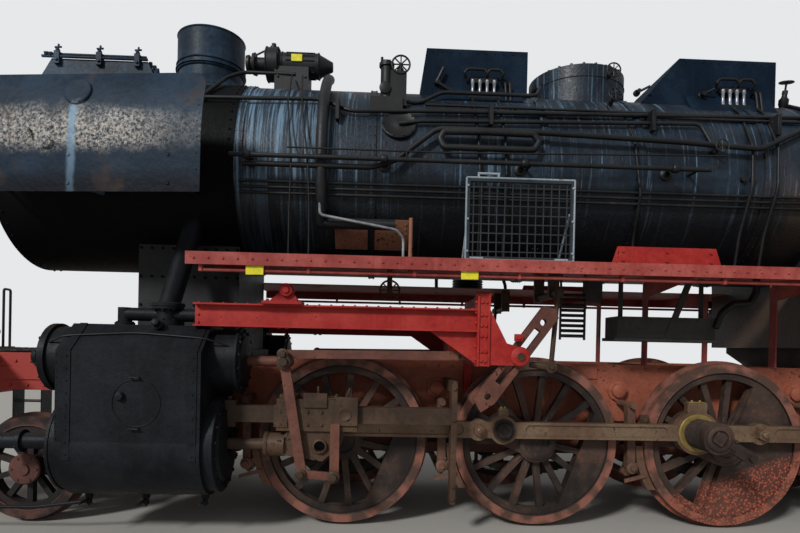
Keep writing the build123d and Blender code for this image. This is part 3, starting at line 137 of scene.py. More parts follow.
def weathered(name, coat, worn, rust, streak=0.3, flake=0.3, gloss=0.5, lumps=0.25, lump_mm=9, dust=0.5, extra=None,
        metal=0, shine=0.35):
    """Old brushed paint on steel: worn patches, vertical runs, rust where it has flaked, and dust on top faces."""
    made, add = fresh(name)
    place = add("TexCoord")
    here, facing = place["Object"], place["Normal"]
    patch = add("TexNoise", {"Vector": here, "Scale": 1000 / 420, "Detail": 6.0, "Roughness": 0.62})[0]
    speck = add("TexNoise", {"Vector": here, "Scale": 1000 / 38, "Detail": 8.0, "Roughness": 0.7})[0]
    long = add("Mapping", {"Vector": here, "Scale": (1000 / 55, 1000 / 260, 1000 / 900)})[0]
    runs = add("TexNoise", {"Vector": long, "Scale": 1.0, "Detail": 5.0, "Roughness": 0.65})[0]
    worn_at = add("MapRange", {0: patch, 1: 0.4, 2: 0.66}, eased)[0]
    runs_at = add("MapRange", {0: runs, 1: 0.52, 2: 0.72, 4: streak}, eased)[0]
    both = add("Math", {0: patch, 1: 0.45, 2: speck}, times_plus)[0]
    flake_at = add("MapRange", {0: both, 1: 0.93 - 0.17 * flake, 2: 0.97 - 0.17 * flake})[0]
    colour = add("Mix", {0: worn_at, 6: coat, 7: worn}, in_colour)[2]
    mottle = add("MapRange", {0: speck, 1: 0.3, 2: 0.7, 3: 0.72, 4: 1.18})[0]
    colour = add("VectorMath", {0: colour, "Scale": mottle}, {"operation": "SCALE"})[0]
    top = add("SeparateXYZ", {0: facing})[2]
    top_at = add("MapRange", {0: top, 1: 0.75, 2: 1.0, 4: dust})[0]
    top_at = add("Math", {0: top_at, 1: patch}, times)[0]
    for share, tone in ((runs_at, worn), (flake_at, rust), *(extra(add, here) if extra else ()), (top_at, "62564a")):
        colour = add("Mix", {0: share, 6: colour, 7: tone}, in_colour)[2]
    rough = add("MapRange", {0: speck, 1: 0.3, 2: 0.7, 3: gloss - 0.1, 4: gloss + 0.12})[0]
    rough = add("Math", {0: flake_at, 1: 0.3, 2: rough}, times_plus)[0]
    swell = add("TexNoise", {"Vector": here, "Scale": 1000 / lump_mm, "Detail": 4.0})[0]
    height = add("Math", {0: flake_at, 1: -0.35, 2: swell}, times_plus)[0]
    relief = add("Bump", {"Height": height, "Strength": lumps, "Distance": lump_mm / 2500})[0]
    skin = add("BsdfPrincipled", {"Base Color": colour, "Roughness": rough, "Normal": relief, "Metallic": metal,
        "Specular IOR Level": 0.5 if metal else shine})
    add("OutputMaterial", {"Surface": skin[0]})
    return made


def finish(material, *names):
    """Gives CAD nodes their material."""
    for name in names:
        data = frame["nodes"][name].data
        if data.materials:
            for i in range(len(data.materials)):
                data.materials[i] = material
        else:
            data.materials.append(material)


def front_red(add, here):
    """Brighter red ahead of the cylinders, and black grime toward the rail."""
    spot = add("SeparateXYZ", {0: here})
    ahead_at = add("MapRange", {0: spot[0], 1: -3.0, 2: -3.5, 4: 0.85})[0]
    low_at = add("MapRange", {0: spot[2], 1: 1.05, 2: 0.55, 4: 0.75})[0]
    return (ahead_at, "9c2f29"), (low_at, "2c2320")


frame_paint = weathered("chalked red lead paint on frame plate", "8c4c38", "a35c46", "4a2a20", 0.3, 0.45, 0.62, 0.4,
    12, 0.6, front_red)
finish(frame_paint, "main_frame", "truck_frame")


def turned_to(axis):
    """The turn that takes +Z to a direction."""
    return Vector((0, 0, 1)).rotation_difference(Vector(axis)).to_matrix().to_4x4()


def block(part, low, high):
    """Square-edged block between two opposite corners."""
    low, high = Vector(map(min, low, high)), Vector(map(max, low, high))
    place = Matrix.Translation((low + high) / 2) @ Matrix.Diagonal((*(high - low), 1.0))
    bmesh.ops.create_cube(part, size=1.0, matrix=place)


def bar(part, a, b, radius, sides=12, end=None):
    """Round bar from a to b."""
    a, b = Vector(a), Vector(b)
    bmesh.ops.create_cone(part, cap_ends=True, segments=sides, radius1=radius, radius2=radius if end is None else end,
        depth=(b - a).length, matrix=Matrix.Translation((a + b) / 2) @ turned_to(b - a))


def heads(part, places, axis, radius, height, sides=6):
    """Bolt heads with six sides, or rivets' domes with more, standing on a face."""
    axis = Vector(axis).normalized()
    for at in places:
        foot = Vector(at) - axis * 0.002
        bar(part, foot, foot + axis * (height + 0.002), radius, sides, radius * (0.92 if sides == 6 else 0.55))


def ring(centre, axis, radius, count, start=0):
    """Places round a circle."""
    turn = Matrix.Translation(centre) @ turned_to(axis)
    angles = [start + tau * i / count for i in range(count)]
    return [turn @ Vector((radius * cos(a), radius * sin(a), 0)) for a in angles]


def row(a, b, count):
    """Places along a line, both ends counted."""
    return [Vector(a).lerp(Vector(b), i / (count - 1)) for i in range(count)]


def turned(part, outline, foot, axis, steps=24):
    """Turned part: outline gives (along, radius) pairs from the foot along the axis."""
    before = set(part.verts)
    line = [part.verts.new((radius, 0, along)) for along, radius in outline]
    edges = [part.edges.new(pair) for pair in zip(line, line[1:])]
    bmesh.ops.spin(part, geom=line + edges, cent=(0, 0, 0), axis=(0, 0, 1), angle=tau, steps=steps, use_merge=True)
    made = [v for v in part.verts if v not in before]
    bmesh.ops.transform(part, matrix=Matrix.Translation(foot) @ turned_to(axis), verts=made)


def hoop(part, centre, axis, radius, thick, steps=32):
    """Round ring of round bar, such as a handwheel's rim."""
    before = set(part.verts)
    bmesh.ops.create_circle(part, segments=8, radius=thick, matrix=Matrix.Translation((radius, 0, 0))
        @ Matrix.Rotation(pi / 2, 4, "X"))
    line = [v for v in part.verts if v not in before]
    edges = {e for v in line for e in v.link_edges}
    bmesh.ops.spin(part, geom=line + list(edges), cent=(0, 0, 0), axis=(0, 0, 1), angle=tau, steps=steps,
        use_merge=True)
    made = [v for v in part.verts if v not in before]
    bmesh.ops.transform(part, matrix=Matrix.Translation(centre) @ turned_to(axis), verts=made)


def sheet(part, outline, thick):
    """Flat plate with the given outline, thick along a direction."""
    face = part.faces.new([part.verts.new(p) for p in outline])
    grown = bmesh.ops.extrude_face_region(part, geom=[face])["geom"]
    bmesh.ops.translate(part, vec=thick, verts=[v for v in grown if isinstance(v, bmesh.types.BMVert)])


def both_sides(part):
    """Adds the right-hand copy of what is there."""
    twin = bmesh.ops.duplicate(part, geom=part.verts[:] + part.edges[:] + part.faces[:])["geom"]
    bmesh.ops.scale(part, vec=(1, -1, 1), verts=[v for v in twin if isinstance(v, bmesh.types.BMVert)])


def carried(name, data, material, body):
    """Shows a mesh or curve in its material, moving with a body."""
    data.materials.append(material)
    made = bpy.data.objects.new(name, data)
    shown.link(made)
    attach(made, body)


def piece(name, part, material, body="engine", bevel=0):
    """Makes the mesh an object that moves with a body."""
    bmesh.ops.remove_doubles(part, verts=part.verts[:], dist=1e-5)
    bmesh.ops.recalc_face_normals(part, faces=part.faces[:])
    if bevel:
        sharp = [e for e in part.edges if e.is_manifold and e.calc_face_angle() > 0.6]
        bmesh.ops.bevel(part, geom=sharp, offset=bevel, affect="EDGES", segments=1, profile=0.5, material=-1,
            clamp_overlap=True)
    data = bpy.data.meshes.new(name)
    part.to_mesh(data)
    part.free()
    data.shade_smooth()
    data.set_sharp_from_angle(angle=radians(38))
    carried(name, data, material, body)


def pipe(name, routes, radius, material, body="engine", bend=0.06):
    """Bent pipe of round section along each route, its corners eased over the bend's length."""
    data = bpy.data.curves.new(name, "CURVE")
    data.dimensions = "3D"
    data.bevel_depth = radius
    data.bevel_resolution = 3
    data.use_fill_caps = True
    for route in routes:
        points = [Vector(p) for p in route]
        line = [points[0]]
        for before, corner, after in zip(points, points[1:], points[2:]):
            for other in (before, after):
                reach = min(bend, (other - corner).length * 0.45)
                line.append(corner + (other - corner).normalized() * reach)
                if other is before:
                    line.append(corner)
        line.append(points[-1])
        spline = data.splines.new("NURBS")
        spline.points.add(len(line) - 1)
        for point, at in zip(spline.points, line):
            point.co = (*at, 1.0)
        spline.order_u = 3
        spline.use_endpoint_u = True
        spline.resolution_u = 5
    carried(name, data, material, body)


left, right, up, down, front, rear = (0, -1, 0), (0, 1, 0), (0, 0, 1), (0, 0, -1), (-1, 0, 0), (1, 0, 0)
axle_z = 0.728
coupled = (-2.1, -0.45, 1.2, 2.85, 4.5)
frame_face = -0.54
studs = bmesh.new()
for x in coupled:
    heads(studs, row((x - 0.23, frame_face, 1.34), (x + 0.23, frame_face, 1.34), 4), left, 0.019, 0.012, 8)
    for side in (-1, 1):
        heads(studs, row((x + side * 0.205, frame_face, 0.7), (x + side * 0.205, frame_face, 1.22), 6), left, 0.017,
            0.011, 8)
for a, b in zip(coupled, coupled[1:]):
    middle = (a + b) / 2
    heads(studs, row((middle - 0.52, frame_face, 1.36), (middle + 0.52, frame_face, 1.36), 9), left, 0.019, 0.012, 8)
    sheet(studs, [(middle - 0.55, frame_face, 1.27), (middle - 0.2, frame_face, 1.27),
        (middle - 0.2, frame_face, 1.39), (middle - 0.55, frame_face, 1.39)], (0, -0.014, 0))
    turned(studs, [(0, 0.09), (0.025, 0.09), (0.03, 0.062), (0.06, 0.06), (0.07, 0.04), (0.07, 0)],
        (middle - 0.01, frame_face, 1.165), left)
    heads(studs, ring((middle - 0.01, frame_face - 0.022, 1.165), left, 0.075, 6), left, 0.012, 0.012)
heads(studs, row((-5.9, frame_face, 1.33), (-4.2, frame_face, 1.33), 14), left, 0.018, 0.012, 8)
heads(studs, row((-5.9, frame_face, 1.12), (-4.3, frame_face, 1.12), 12), left, 0.018, 0.012, 8)
sheet(studs, [(-5.9, frame_face, 1.17), (-4.7, frame_face, 1.17), (-4.55, frame_face, 1.28),
    (-5.9, frame_face, 1.28)], (0, -0.012, 0))
both_sides(studs)
piece("frame_rivets_and_plates", studs, frame_paint)


# Wheelsets: cast steel centres with shrunk-on rolled tyres. The centres keep a dull red under dirt and oil, the tyres
# a brown rust with pink chalked paint on their outer faces, and the driving pair a flaking balance weight.
def tyre_band(x, z, inner, weight=0, base="4c372d", chalk=0.85):
    """Rust brown outside the tyre's joint, a black line in the joint, and flaked red low on a driving wheel."""
    def paint(add, here):
        flat = add("Mapping", {"Vector": here, "Location": (-x, 0, -z), "Scale": (1, 0, 1)})[0]
        out = add("VectorMath", {0: flat}, {"operation": "LENGTH"})[1]
        pale = add("TexNoise", {"Vector": here, "Scale": 1000 / 130, "Detail": 7.0})[0]
        pale_at = add("MapRange", {0: pale, 1: 0.42, 2: 0.6, 4: chalk})[0]
        tyre = add("Mix", {0: pale_at, 6: base, 7: "8a5749"}, in_colour)[2]
        band_at = add("MapRange", {0: out, 1: inner, 2: inner + 0.004})[0]
        joint_at = add("Math", {0: out, 1: inner, 2: 0.004}, {"operation": "COMPARE"})[0]
        coats = [(band_at, tyre), (joint_at, "191412")]
        if weight:
            spot = add("SeparateXYZ", {0: flat})
            lean = add("Math", {0: spot[0], 1: -0.35, 2: spot[2]}, times_plus)[0]
            low_at = add("MapRange", {0: lean, 1: -0.26, 2: -0.34, 4: weight})[0]
            chip = add("TexVoronoi", {"Vector": here, "Scale": 1000 / 22})[0]
            chip_at = add("MapRange", {0: chip, 1: 0.2, 2: 0.5, 3: 1.0, 4: 0.15})[0]
            low_at = add("Math", {0: low_at, 1: chip_at}, times)[0]
            coats.append((low_at, "a9553f"))
        return coats
    return paint


wheel_paints = {}
for number, x in enumerate(coupled, 1):
    driving = number == 3
    wheel_paints[number] = weathered(f"dull red paint and dirt on coupled wheel {number}", "2a201b" if driving
        else "201815", "4a382f", "603a2e", 0.15, 0.5, 0.62, 0.35, 10, 0.5, tyre_band(x, axle_z, 0.625, 1.0 if driving
        else 0))
    finish(wheel_paints[number], f"wheelset_{number}")
lead_x, lead_z = -4.7, 0.453
leading_paint = weathered("dull red paint and dirt on leading wheel", "100e0e", "291c19", "52291f", 0.1, 0.3, 0.6,
    0.35, 10, 0.4, tyre_band(lead_x, lead_z, 0.35, 0, "1d1614", 0.3))
finish(leading_paint, "leading_wheelset")
black_iron = weathered("oily black paint on cast iron", "0c0d0f", "1c1d1f", "3a2920", 0.15, 0.3, 0.5, 0.35, 7, 0.5)

pins = {-1: (-0.3081, 0.1183), 1: (-0.1183, -0.3081)}
for number, x in enumerate(coupled, 1):
    trim = bmesh.new()
    for side in (-1, 1):
        out = (0, side, 0)
        hoop(trim, (x, side * 0.818, axle_z), out, 0.629, 0.006, 64)
        turned(trim, [(0, 0.15), (0.01, 0.15), (0.016, 0.142), (0.016, 0.105), (0.004, 0.1), (0.004, 0.055),
            (-0.015, 0.05), (-0.015, 0)], (x, side * 0.85, axle_z), out, 32)
        px, pz = x + pins[side][0], axle_z + pins[side][1]
        if number == 3:
            for i in range(7):
                hoop(trim, (px, side * (0.972 + 0.03 * i), pz), out, 0.116, 0.008)
        else:
            # The crosshead passes close to the first wheel's pins, so their caps are thin.
            cap = 0.012 if number == 1 else 0.028
            turned(trim, [(0, 0.07), (cap - 0.01, 0.07), (cap, 0.058), (cap, 0.03), (cap - 0.008, 0.026),
                (cap - 0.008, 0)], (px, side * 0.974, pz), out)
            heads(trim, ring((px, side * (0.972 + cap), pz), out, 0.044, 4), out, 0.009, 0.004 if number == 1
                else 0.01)
        for i in range(15):
            a = tau * (i + 0.5) / 15
            root = Vector((x + 0.15 * cos(a), side * 0.75, axle_z - 0.15 * sin(a)))
            tip = Vector((x + 0.3 * cos(a), side * 0.75, axle_z - 0.3 * sin(a)))
            bar(trim, root, tip, 0.04, 8, 0.027)
    piece(f"wheel_{number}_hub_and_pin_trim", trim, wheel_paints[number], f"wheelset_{number}")

arms = bmesh.new()
for side in (-1, 1):
    out = (0, side, 0)
    px, pz = coupled[2] + pins[side][0], axle_z + pins[side][1]
    along = Vector((-pins[side][0], 0, -pins[side][1])).normalized()
    cross = Vector((along.z, 0, -along.x))
    head = Vector((px, side * 1.252, pz))
    turned(arms, [(0, 0.1), (0.012, 0.1), (0.02, 0.088), (0.02, 0.07), (0, 0.07)], head, out, 32)
    heads(arms, [head + along * 0.13 + cross * 0.035, head + along * 0.13 - cross * 0.035], out, 0.016, 0.018)
    heads(arms, [head], out, 0.04, 0.02, 4)
piece("return_crank_heads", arms, wheel_paints[3], "wheelset_3")

hubs = bmesh.new()
for side in (-1, 1):
    turned(hubs, [(0, 0.128), (0.012, 0.128), (0.022, 0.118), (0.026, 0.05), (0.04, 0.045), (0.04, 0)],
        (lead_x, side * 0.85, lead_z), (0, side, 0), 32)
    heads(hubs, ring((lead_x, side * 0.87, lead_z), (0, side, 0), 0.1, 6), (0, side, 0), 0.011, 0.012)
    hoop(hubs, (lead_x, side * 0.818, lead_z), (0, side, 0), 0.354, 0.005, 48)
hub_red = weathered("brown red paint on hub cover", "4c2b25", "5c3830", "693d31", 0.1, 0.4, 0.6, 0.3, 8, 0.3)
piece("leading_wheel_hub_covers", hubs, hub_red, "leading_wheelset")


# Coupling rods: forged steel, fluted between their eyes, oily and tan with old rust, and paler where it has worn.
# Each eye has a bronze bush, an oil cup forged on top with its screwed lid, and each knuckle a nut and split pin.
rod_steel = weathered("oiled forged steel gone tan", "6b5240", "87705a", "3d2b22", 0.2, 0.5, 0.42, 0.3, 6, 0.5, None,
    0.45)
finish(rod_steel, "coupling_rods_left", "coupling_rods_right")
olive_brass = weathered("dirty bronze", "8a7440", "a08a52", "40382a", 0.1, 0.4, 0.45, 0.2, 5, 0.4, None, 0.5)
for side, word in ((-1, "left"), (1, "right")):
    out = (0, side, 0)
    z = axle_z + pins[side][1]
    centres = [x + pins[side][0] for x in coupled]
    trim, cups = bmesh.new(), bmesh.new()
    for number, px in enumerate(centres, 1):
        driving = number == 3
        radius, bore = (0.185, 0.1165) if driving else (0.118, 0.096)
        face = side * 0.948
        turned(cups, [(0, radius - 0.022), (0.008, radius - 0.022), (0.01, radius - 0.03), (0.01, bore), (0, bore)],
            (px, face, z), out, 32)
        top = z + radius + (0.07 if driving else 0.055)
        half = 0.07 if driving else 0.03
        block(cups, (px - half, side * 0.876, top - 0.004), (px + half, side * 0.94, top + 0.008))
        heads(cups, [(px - half * 0.5, side * 0.908, top + 0.006), (px + half * 0.5, side * 0.908, top + 0.006)], up,
            0.012, 0.014)
    for kx in (centres[1] - 0.209, centres[2] + 0.546, centres[3] + 0.209):
        heads(trim, [(kx, side * 0.966, z)], out, 0.052, 0.034)
        turned(trim, [(0, 0.024), (0.022, 0.024), (0.026, 0.018), (0.026, 0)], (kx, side * 0.998, z), out)
        heads(trim, ring((kx, side * 0.948, z), out, 0.074, 6), out, 0.007, 0.008)
    piece(f"rod_nuts_{word}", trim, rod_steel, f"rods_{word}")
    piece(f"rod_oil_cups_{word}", cups, olive_brass, f"rods_{word}", 0.003)


# Axle boxes, springs and brake gear: grey iron castings and leaf springs under the frame, and forged hangers that
# press cast blocks on the wheels, joined across by round beams. All are brown with brake dust and old oil.
cast_iron = weathered("grey iron under brake dust", "231f1c", "40362f", "523425", 0.1, 0.5, 0.7, 0.4, 8, 0.6)
finish(cast_iron, "axle_boxes", "fire_door")
hanger_paint = weathered("brown rusted forging", "583f32", "755241", "3a2a22", 0.15, 0.5, 0.66, 0.35, 8, 0.5)
finish(hanger_paint, "brake_gear")
stops = bmesh.new()
for x in coupled:
    hx = x - 0.8046
    bar(stops, (hx, -0.72, 0.455), (hx, 0.72, 0.455), 0.03)
    for side in (-1, 1):
        out = (0, side, 0)
        heads(stops, [(hx - 0.01, side * 0.835, 1.058)], out, 0.034, 0.022)
        turned(stops, [(0, 0.05), (0.03, 0.05), (0.036, 0.042), (0.036, 0)], (hx, side * 0.8, 0.518), out)
        heads(stops, [(hx, side * 0.835, 0.518)], out, 0.026, 0.022)
        sheet(stops, [(hx - 0.06, side * 0.806, 0.39), (hx + 0.13, side * 0.806, 0.44),
            (hx + 0.125, side * 0.806, 0.47), (hx - 0.065, side * 0.806, 0.42)], (0, side * 0.014, 0))
        bar(stops, (hx, side * 0.72, 0.455), (hx, side * 0.765, 0.5), 0.028, 10)
    for y in (-0.5, 0.5):
        heads(stops, row((x - 0.09, y, 0.548), (x + 0.09, y, 0.548), 2), down, 0.018, 0.016)
piece("brake_beams_and_nuts", stops, hanger_paint)


# Cylinders: cast iron under dark blue-grey lagging sheets, held by straps and screws, with bolted covers on both
# bores and both valve chests. A round inspection lid is let into each side sheet, and a thin oil line lies over it.
cylinder_paint = weathered("satin blue-grey paint on lagging", "121317", "1c1f24", "2c2019", 0.4, 0.25, 0.5, 0.3, 14,
    0.3, shine=0.14)
finish(cylinder_paint, "cylinders", "steam_pipes")
lagging, covers = bmesh.new(), bmesh.new()
cylinder_y, chest_z = -1.09, 1.388
for x in (-4.045, -3.15):
    block(lagging, (x - 0.028, -1.486, 0.66), (x + 0.028, -1.478, 1.452))
    heads(lagging, row((x, -1.486, 0.7), (x, -1.486, 1.41), 9), left, 0.01, 0.006, 8)
    sheet(lagging, [(x - 0.028, -1.482, 1.448), (x + 0.028, -1.482, 1.448), (x + 0.028, -1.242, 1.65),
        (x - 0.028, -1.242, 1.65)], (0, -0.004, 0.005))
heads(lagging, row((-4.118, -1.48, 0.7), (-4.118, -1.48, 1.42), 14), left, 0.007, 0.004, 8)
hoop(lagging, (-3.55, -1.481, 1.079), left, 0.172, 0.004, 48)
turned(lagging, [(0, 0.034), (0.018, 0.034), (0.034, 0.026), (0.04, 0)], (-3.665, -1.48, 1.127), left)
for z in (0.893, 1.262):
    for x in (-3.59, -3.53):
        bar(lagging, (x, -1.48, z), (x, -1.51, z), 0.006, 8)
    bar(lagging, (-3.596, -1.508, z), (-3.524, -1.508, z), 0.006, 8)
for x, way in ((-4.315, -1), (-2.905, 1)):
    turned(covers, [(0, 0.262), (0.022, 0.262), (0.028, 0.254), (0.028, 0.205), (0.045, 0.19), (0.06, 0.11),
        (0.06, 0)], (x, cylinder_y, chest_z), (way, 0, 0), 40)
    heads(covers, ring((x + way * 0.026, cylinder_y, chest_z), (way, 0, 0), 0.232, 14), (way, 0, 0), 0.015, 0.018)
for x, way in ((-4.185, -1), (-3.035, 1)):
    turned(covers, [(0, 0.372), (0.02, 0.372), (0.026, 0.364), (0.026, 0.29), (0.045, 0.27), (0.055, 0.12),
        (0.055, 0.07)], (x, cylinder_y, axle_z), (way, 0, 0), 48)
    heads(covers, ring((x + way * 0.024, cylinder_y, axle_z), (way, 0, 0), 0.33, 18), (way, 0, 0), 0.016, 0.02)
turned(covers, [(0, 0.075), (0.02, 0.075), (0.04, 0.06), (0.05, 0)], (-4.455, cylinder_y, chest_z), front)
heads(covers, ring((-4.595, cylinder_y, axle_z), front, 0.074, 6), front, 0.011, 0.014)
turned(covers, [(0, 0.07), (0.02, 0.07), (0.03, 0.05), (0.03, 0)], (-4.825, cylinder_y, axle_z), front)
for x in (-4.06, -3.62, -3.16):
    turned(covers, [(0, 0.03), (0.05, 0.03), (0.06, 0.022), (0.1, 0.022), (0.11, 0.012), (0.13, 0)],
        (x, cylinder_y, 0.345), down)
    bar(covers, (x, cylinder_y, 0.28), (x, -1.24, 0.28), 0.011, 8)
for part in (lagging, covers):
    both_sides(part)
piece("cylinder_lagging_straps", lagging, cylinder_paint)
piece("cylinder_covers_and_bolts", covers, cylinder_paint)
rubber = weathered("black varnished oil line", "0a0a0b", "18181a", "2c211c", 0.1, 0.1, 0.5, 0.2, 5, 0.3)
pipe("cylinder_oil_lines", [[(-4.27, s * 1.3, 1.5), (-4.13, s * 1.37, 1.555), (-3.62, s * 1.325, 1.588),
    (-3.1, s * 1.37, 1.555), (-2.94, s * 1.3, 1.5)] for s in (-1, 1)], 0.007, rubber, bend=0.2)
pipe("cylinder_drain_pipes", [[(-4.06, s * 1.13, 0.27), (-4.45, s * 1.13, 0.22), (-5.25, s * 1.13, 0.22),
    (-5.4, s * 1.13, 0.16)] for s in (-1, 1)], 0.014, cylinder_paint)

unions = bmesh.new()
steam_x = -3.48
for z, way in ((1.6905, up), (1.7805, down)):
    heads(unions, ring((steam_x, cylinder_y, z), way, 0.104, 8), way, 0.013, 0.014)
turned(unions, [(0, 0.128), (0.022, 0.128), (0.028, 0.12), (0.028, 0.085)], (steam_x, cylinder_y, 1.802), up, 32)
for x in (-3.81, -3.18):
    turned(unions, [(0, 0.075), (0.018, 0.075), (0.022, 0.06), (0.022, 0.05)], (x, cylinder_y, 1.65), up)
    heads(unions, ring((x, cylinder_y, 1.668), up, 0.064, 6), up, 0.008, 0.01)
turned(unions, [(0, 0.04), (0.05, 0.04), (0.055, 0.03), (0.1, 0.026), (0.11, 0)], (steam_x, -1.255, 1.64),
    (0, -1, 0.35))
both_sides(unions)
piece("steam_pipe_flange_bolts", unions, cylinder_paint)


# Slide bars, crossheads and valve gear: forgings left bright once and now tan with oil and rust, pinned and nutted,
# hung in red plate brackets. The lifting shaft's rod and the small bearing on the girder stand as in the photograph.
motion_steel = weathered("oily forging gone brown", "3a2c22", "574232", "221914", 0.2, 0.55, 0.5, 0.3, 6, 0.3,
    shine=0.25)
finish(motion_steel, "slide_bars", "crossheads")
gear_steel = weathered("rust red forging", "563329", "74483a", "33211b", 0.2, 0.5, 0.6, 0.3, 6, 0.4)
finish(gear_steel, "valve_gear")
motion_red = weathered("chalked signal red on brackets", "981914", "ab3028", "481a16", 0.25, 0.35, 0.55, 0.3, 10, 0.5)
finish(motion_red, "motion_brackets")
nuts, plates, dark = bmesh.new(), bmesh.new(), bmesh.new()
out = left
for px, pz, py, size in ((-2.55, 1.448, -1.235, 0.03), (-2.392, 0.528, -1.255, 0.028), (-2.14, 0.508, -1.255, 0.032),
        (-2.54, 1.388, -1.24, 0.038), (-0.735, 1.468, -1.35, 0.034)):
    turned(nuts, [(0, size * 1.5), (0.01, size * 1.5), (0.014, size * 1.2), (0.014, 0)], (px, py, pz), out)
    heads(nuts, [(px, py - 0.012, pz)], out, size, 0.024)
block(nuts, (-2.56, -1.18, 1.068), (-2.46, -0.98, 1.13))
block(nuts, (-2.146, -1.195, 0.896), (-1.965, -1.15, 1.12))
turned(nuts, [(0, 0.052), (0.006, 0.052), (0.006, 0.036), (0.002, 0.034), (0.002, 0)], (-2.065, -1.195, 0.983), out,
    28)
block(nuts, (-2.391, -1.19, 1.033), (-2.206, -1.15, 1.147))
block(nuts, (-2.618, -1.183, 0.876), (-2.51, -1.15, 1.05))
block(nuts, (-2.3, -1.18, 1.098), (-2.14, -1.0, 1.112))
for x in (-2.57, -2.46, -2.36, -2.25, -2.14, -2.05):
    heads(nuts, [(x, -1.14, 1.096), (x, -1.04, 1.096)], up, 0.015, 0.034)
    heads(nuts, [(x, -1.175, 1.0), (x, -1.175, 0.9)], out, 0.014, 0.014)
bar(nuts, (-2.28, -1.15, 1.11), (-2.28, -1.15, 1.2), 0.009, 8)
bar(nuts, (-2.06, -1.15, 1.11), (-2.03, -1.15, 1.19), 0.007, 8)
heads(nuts, [(-2.98, cylinder_y, 1.078)], up, 0.02, 0.03)
heads(nuts, [(-1.2025, -1.155, z) for z in (0.32, 0.42, 0.95, 1.2)], out, 0.016, 0.014)
turned(nuts, [(0, 0.06), (0.02, 0.06), (0.026, 0.05), (0.026, 0.044)], (-2.26, -1.15, 0.728), out, 28)
turned(nuts, [(0, 0.1), (0.03, 0.1), (0.035, 0.09), (0.16, 0.086)], (-2.7, cylinder_y, axle_z), rear, 28)
both_sides(nuts)
piece("motion_nuts_and_oil_boxes", nuts, motion_steel, bevel=0.002)

web_y, top_z = -1.2545, 1.8263
heads(plates, row((-3.17, -1.3, top_z), (-1.1, -1.3, top_z), 24), up, 0.012, 0.008, 8)
heads(plates, row((-3.19, -1.254, 1.68), (-3.19, -1.254, 1.8), 3), out, 0.014, 0.01, 8)
heads(plates, [(x, -1.318, z) for x in (-1.03, -0.996) for z in (1.43, 1.5, 1.62, 1.7, 1.78, 1.88)], out, 0.014,
    0.012)
block(plates, (-1.062, -1.33, 1.385), (-1.046, -1.15, 1.93))
block(plates, (-0.98, -1.33, 1.385), (-0.964, -1.15, 1.93))
heads(plates, [(-1.062, -1.29, z) for z in (1.44, 1.54, 1.72, 1.8, 1.88)], front, 0.015, 0.014)
heads(plates, [(-0.964, -1.29, z) for z in (1.44, 1.54, 1.66, 1.78, 1.88)], rear, 0.015, 0.014)
bar(plates, (-1.07, -1.285, 1.93), (-0.955, -1.285, 1.93), 0.03, 12)
block(plates, (-0.775, -1.345, 1.585), (-0.712, -1.312, 1.64))
heads(plates, [(-0.744, -1.345, 1.612)], out, 0.017, 0.014)
turned(plates, [(0, 0.075), (0.012, 0.075), (0.02, 0.062), (0.02, 0.04), (0.03, 0.036), (0.03, 0)],
    (-0.735, -1.35, 1.468), out, 28)
heads(plates, ring((-0.735, -1.36, 1.468), out, 0.06, 6), out, 0.008, 0.008)
heads(plates, row((-0.95, -1.314, 1.4), (-0.7, -1.314, 1.4), 5), out, 0.01, 0.008, 8)
block(plates, (-2.7, -1.335, top_z), (-2.4, -1.165, top_z + 0.026))
heads(plates, [(x, -1.31, top_z + 0.026) for x in (-2.66, -2.44)], up, 0.014, 0.014)
sheet(plates, [(-2.66, -1.285, top_z + 0.02), (-2.42, -1.285, top_z + 0.02), (-2.485, -1.285, 1.93),
    (-2.565, -1.285, 1.93)], (0, 0.06, 0))
turned(plates, [(0, 0.052), (0.1, 0.052), (0.105, 0.045), (0.105, 0.026), (0.12, 0.024), (0.12, 0)],
    (-2.523, -1.21, 1.936), out, 28)
heads(plates, [(-2.58, -1.254, 1.655), (-2.52, -1.254, 1.655)], down, 0.02, 0.014)
both_sides(plates)
piece("motion_bracket_bolts_and_bearing", plates, motion_red, bevel=0.002)

shaft_x, shaft_z = -0.407, 1.975
bar(dark, (shaft_x, -1.2, shaft_z), (-0.45, -1.2, 1.395), 0.02, 12)
turned(dark, [(-0.03, 0), (-0.03, 0.045), (0.03, 0.045), (0.03, 0)], (-0.455, -1.2, 1.39), out)
bar(dark, (-0.455, -1.2, 1.39), (-0.62, -1.2, 1.405), 0.034, 8, 0.022)
turned(dark, [(-0.028, 0), (-0.028, 0.04), (0.028, 0.04), (0.028, 0)], (shaft_x, -1.2, shaft_z), out)
bar(dark, (shaft_x, -1.24, shaft_z), (shaft_x, -0.6, shaft_z), 0.03)
for y in (-0.66, -1.08):
    block(dark, (-0.45, y - 0.02, 1.94), (-0.365, y + 0.02, 2.178))
heads(dark, [(-0.455, -1.23, 1.39), (shaft_x, -1.228, shaft_z)], out, 0.022, 0.018)
both_sides(dark)
piece("lifting_shafts", dark, motion_steel)


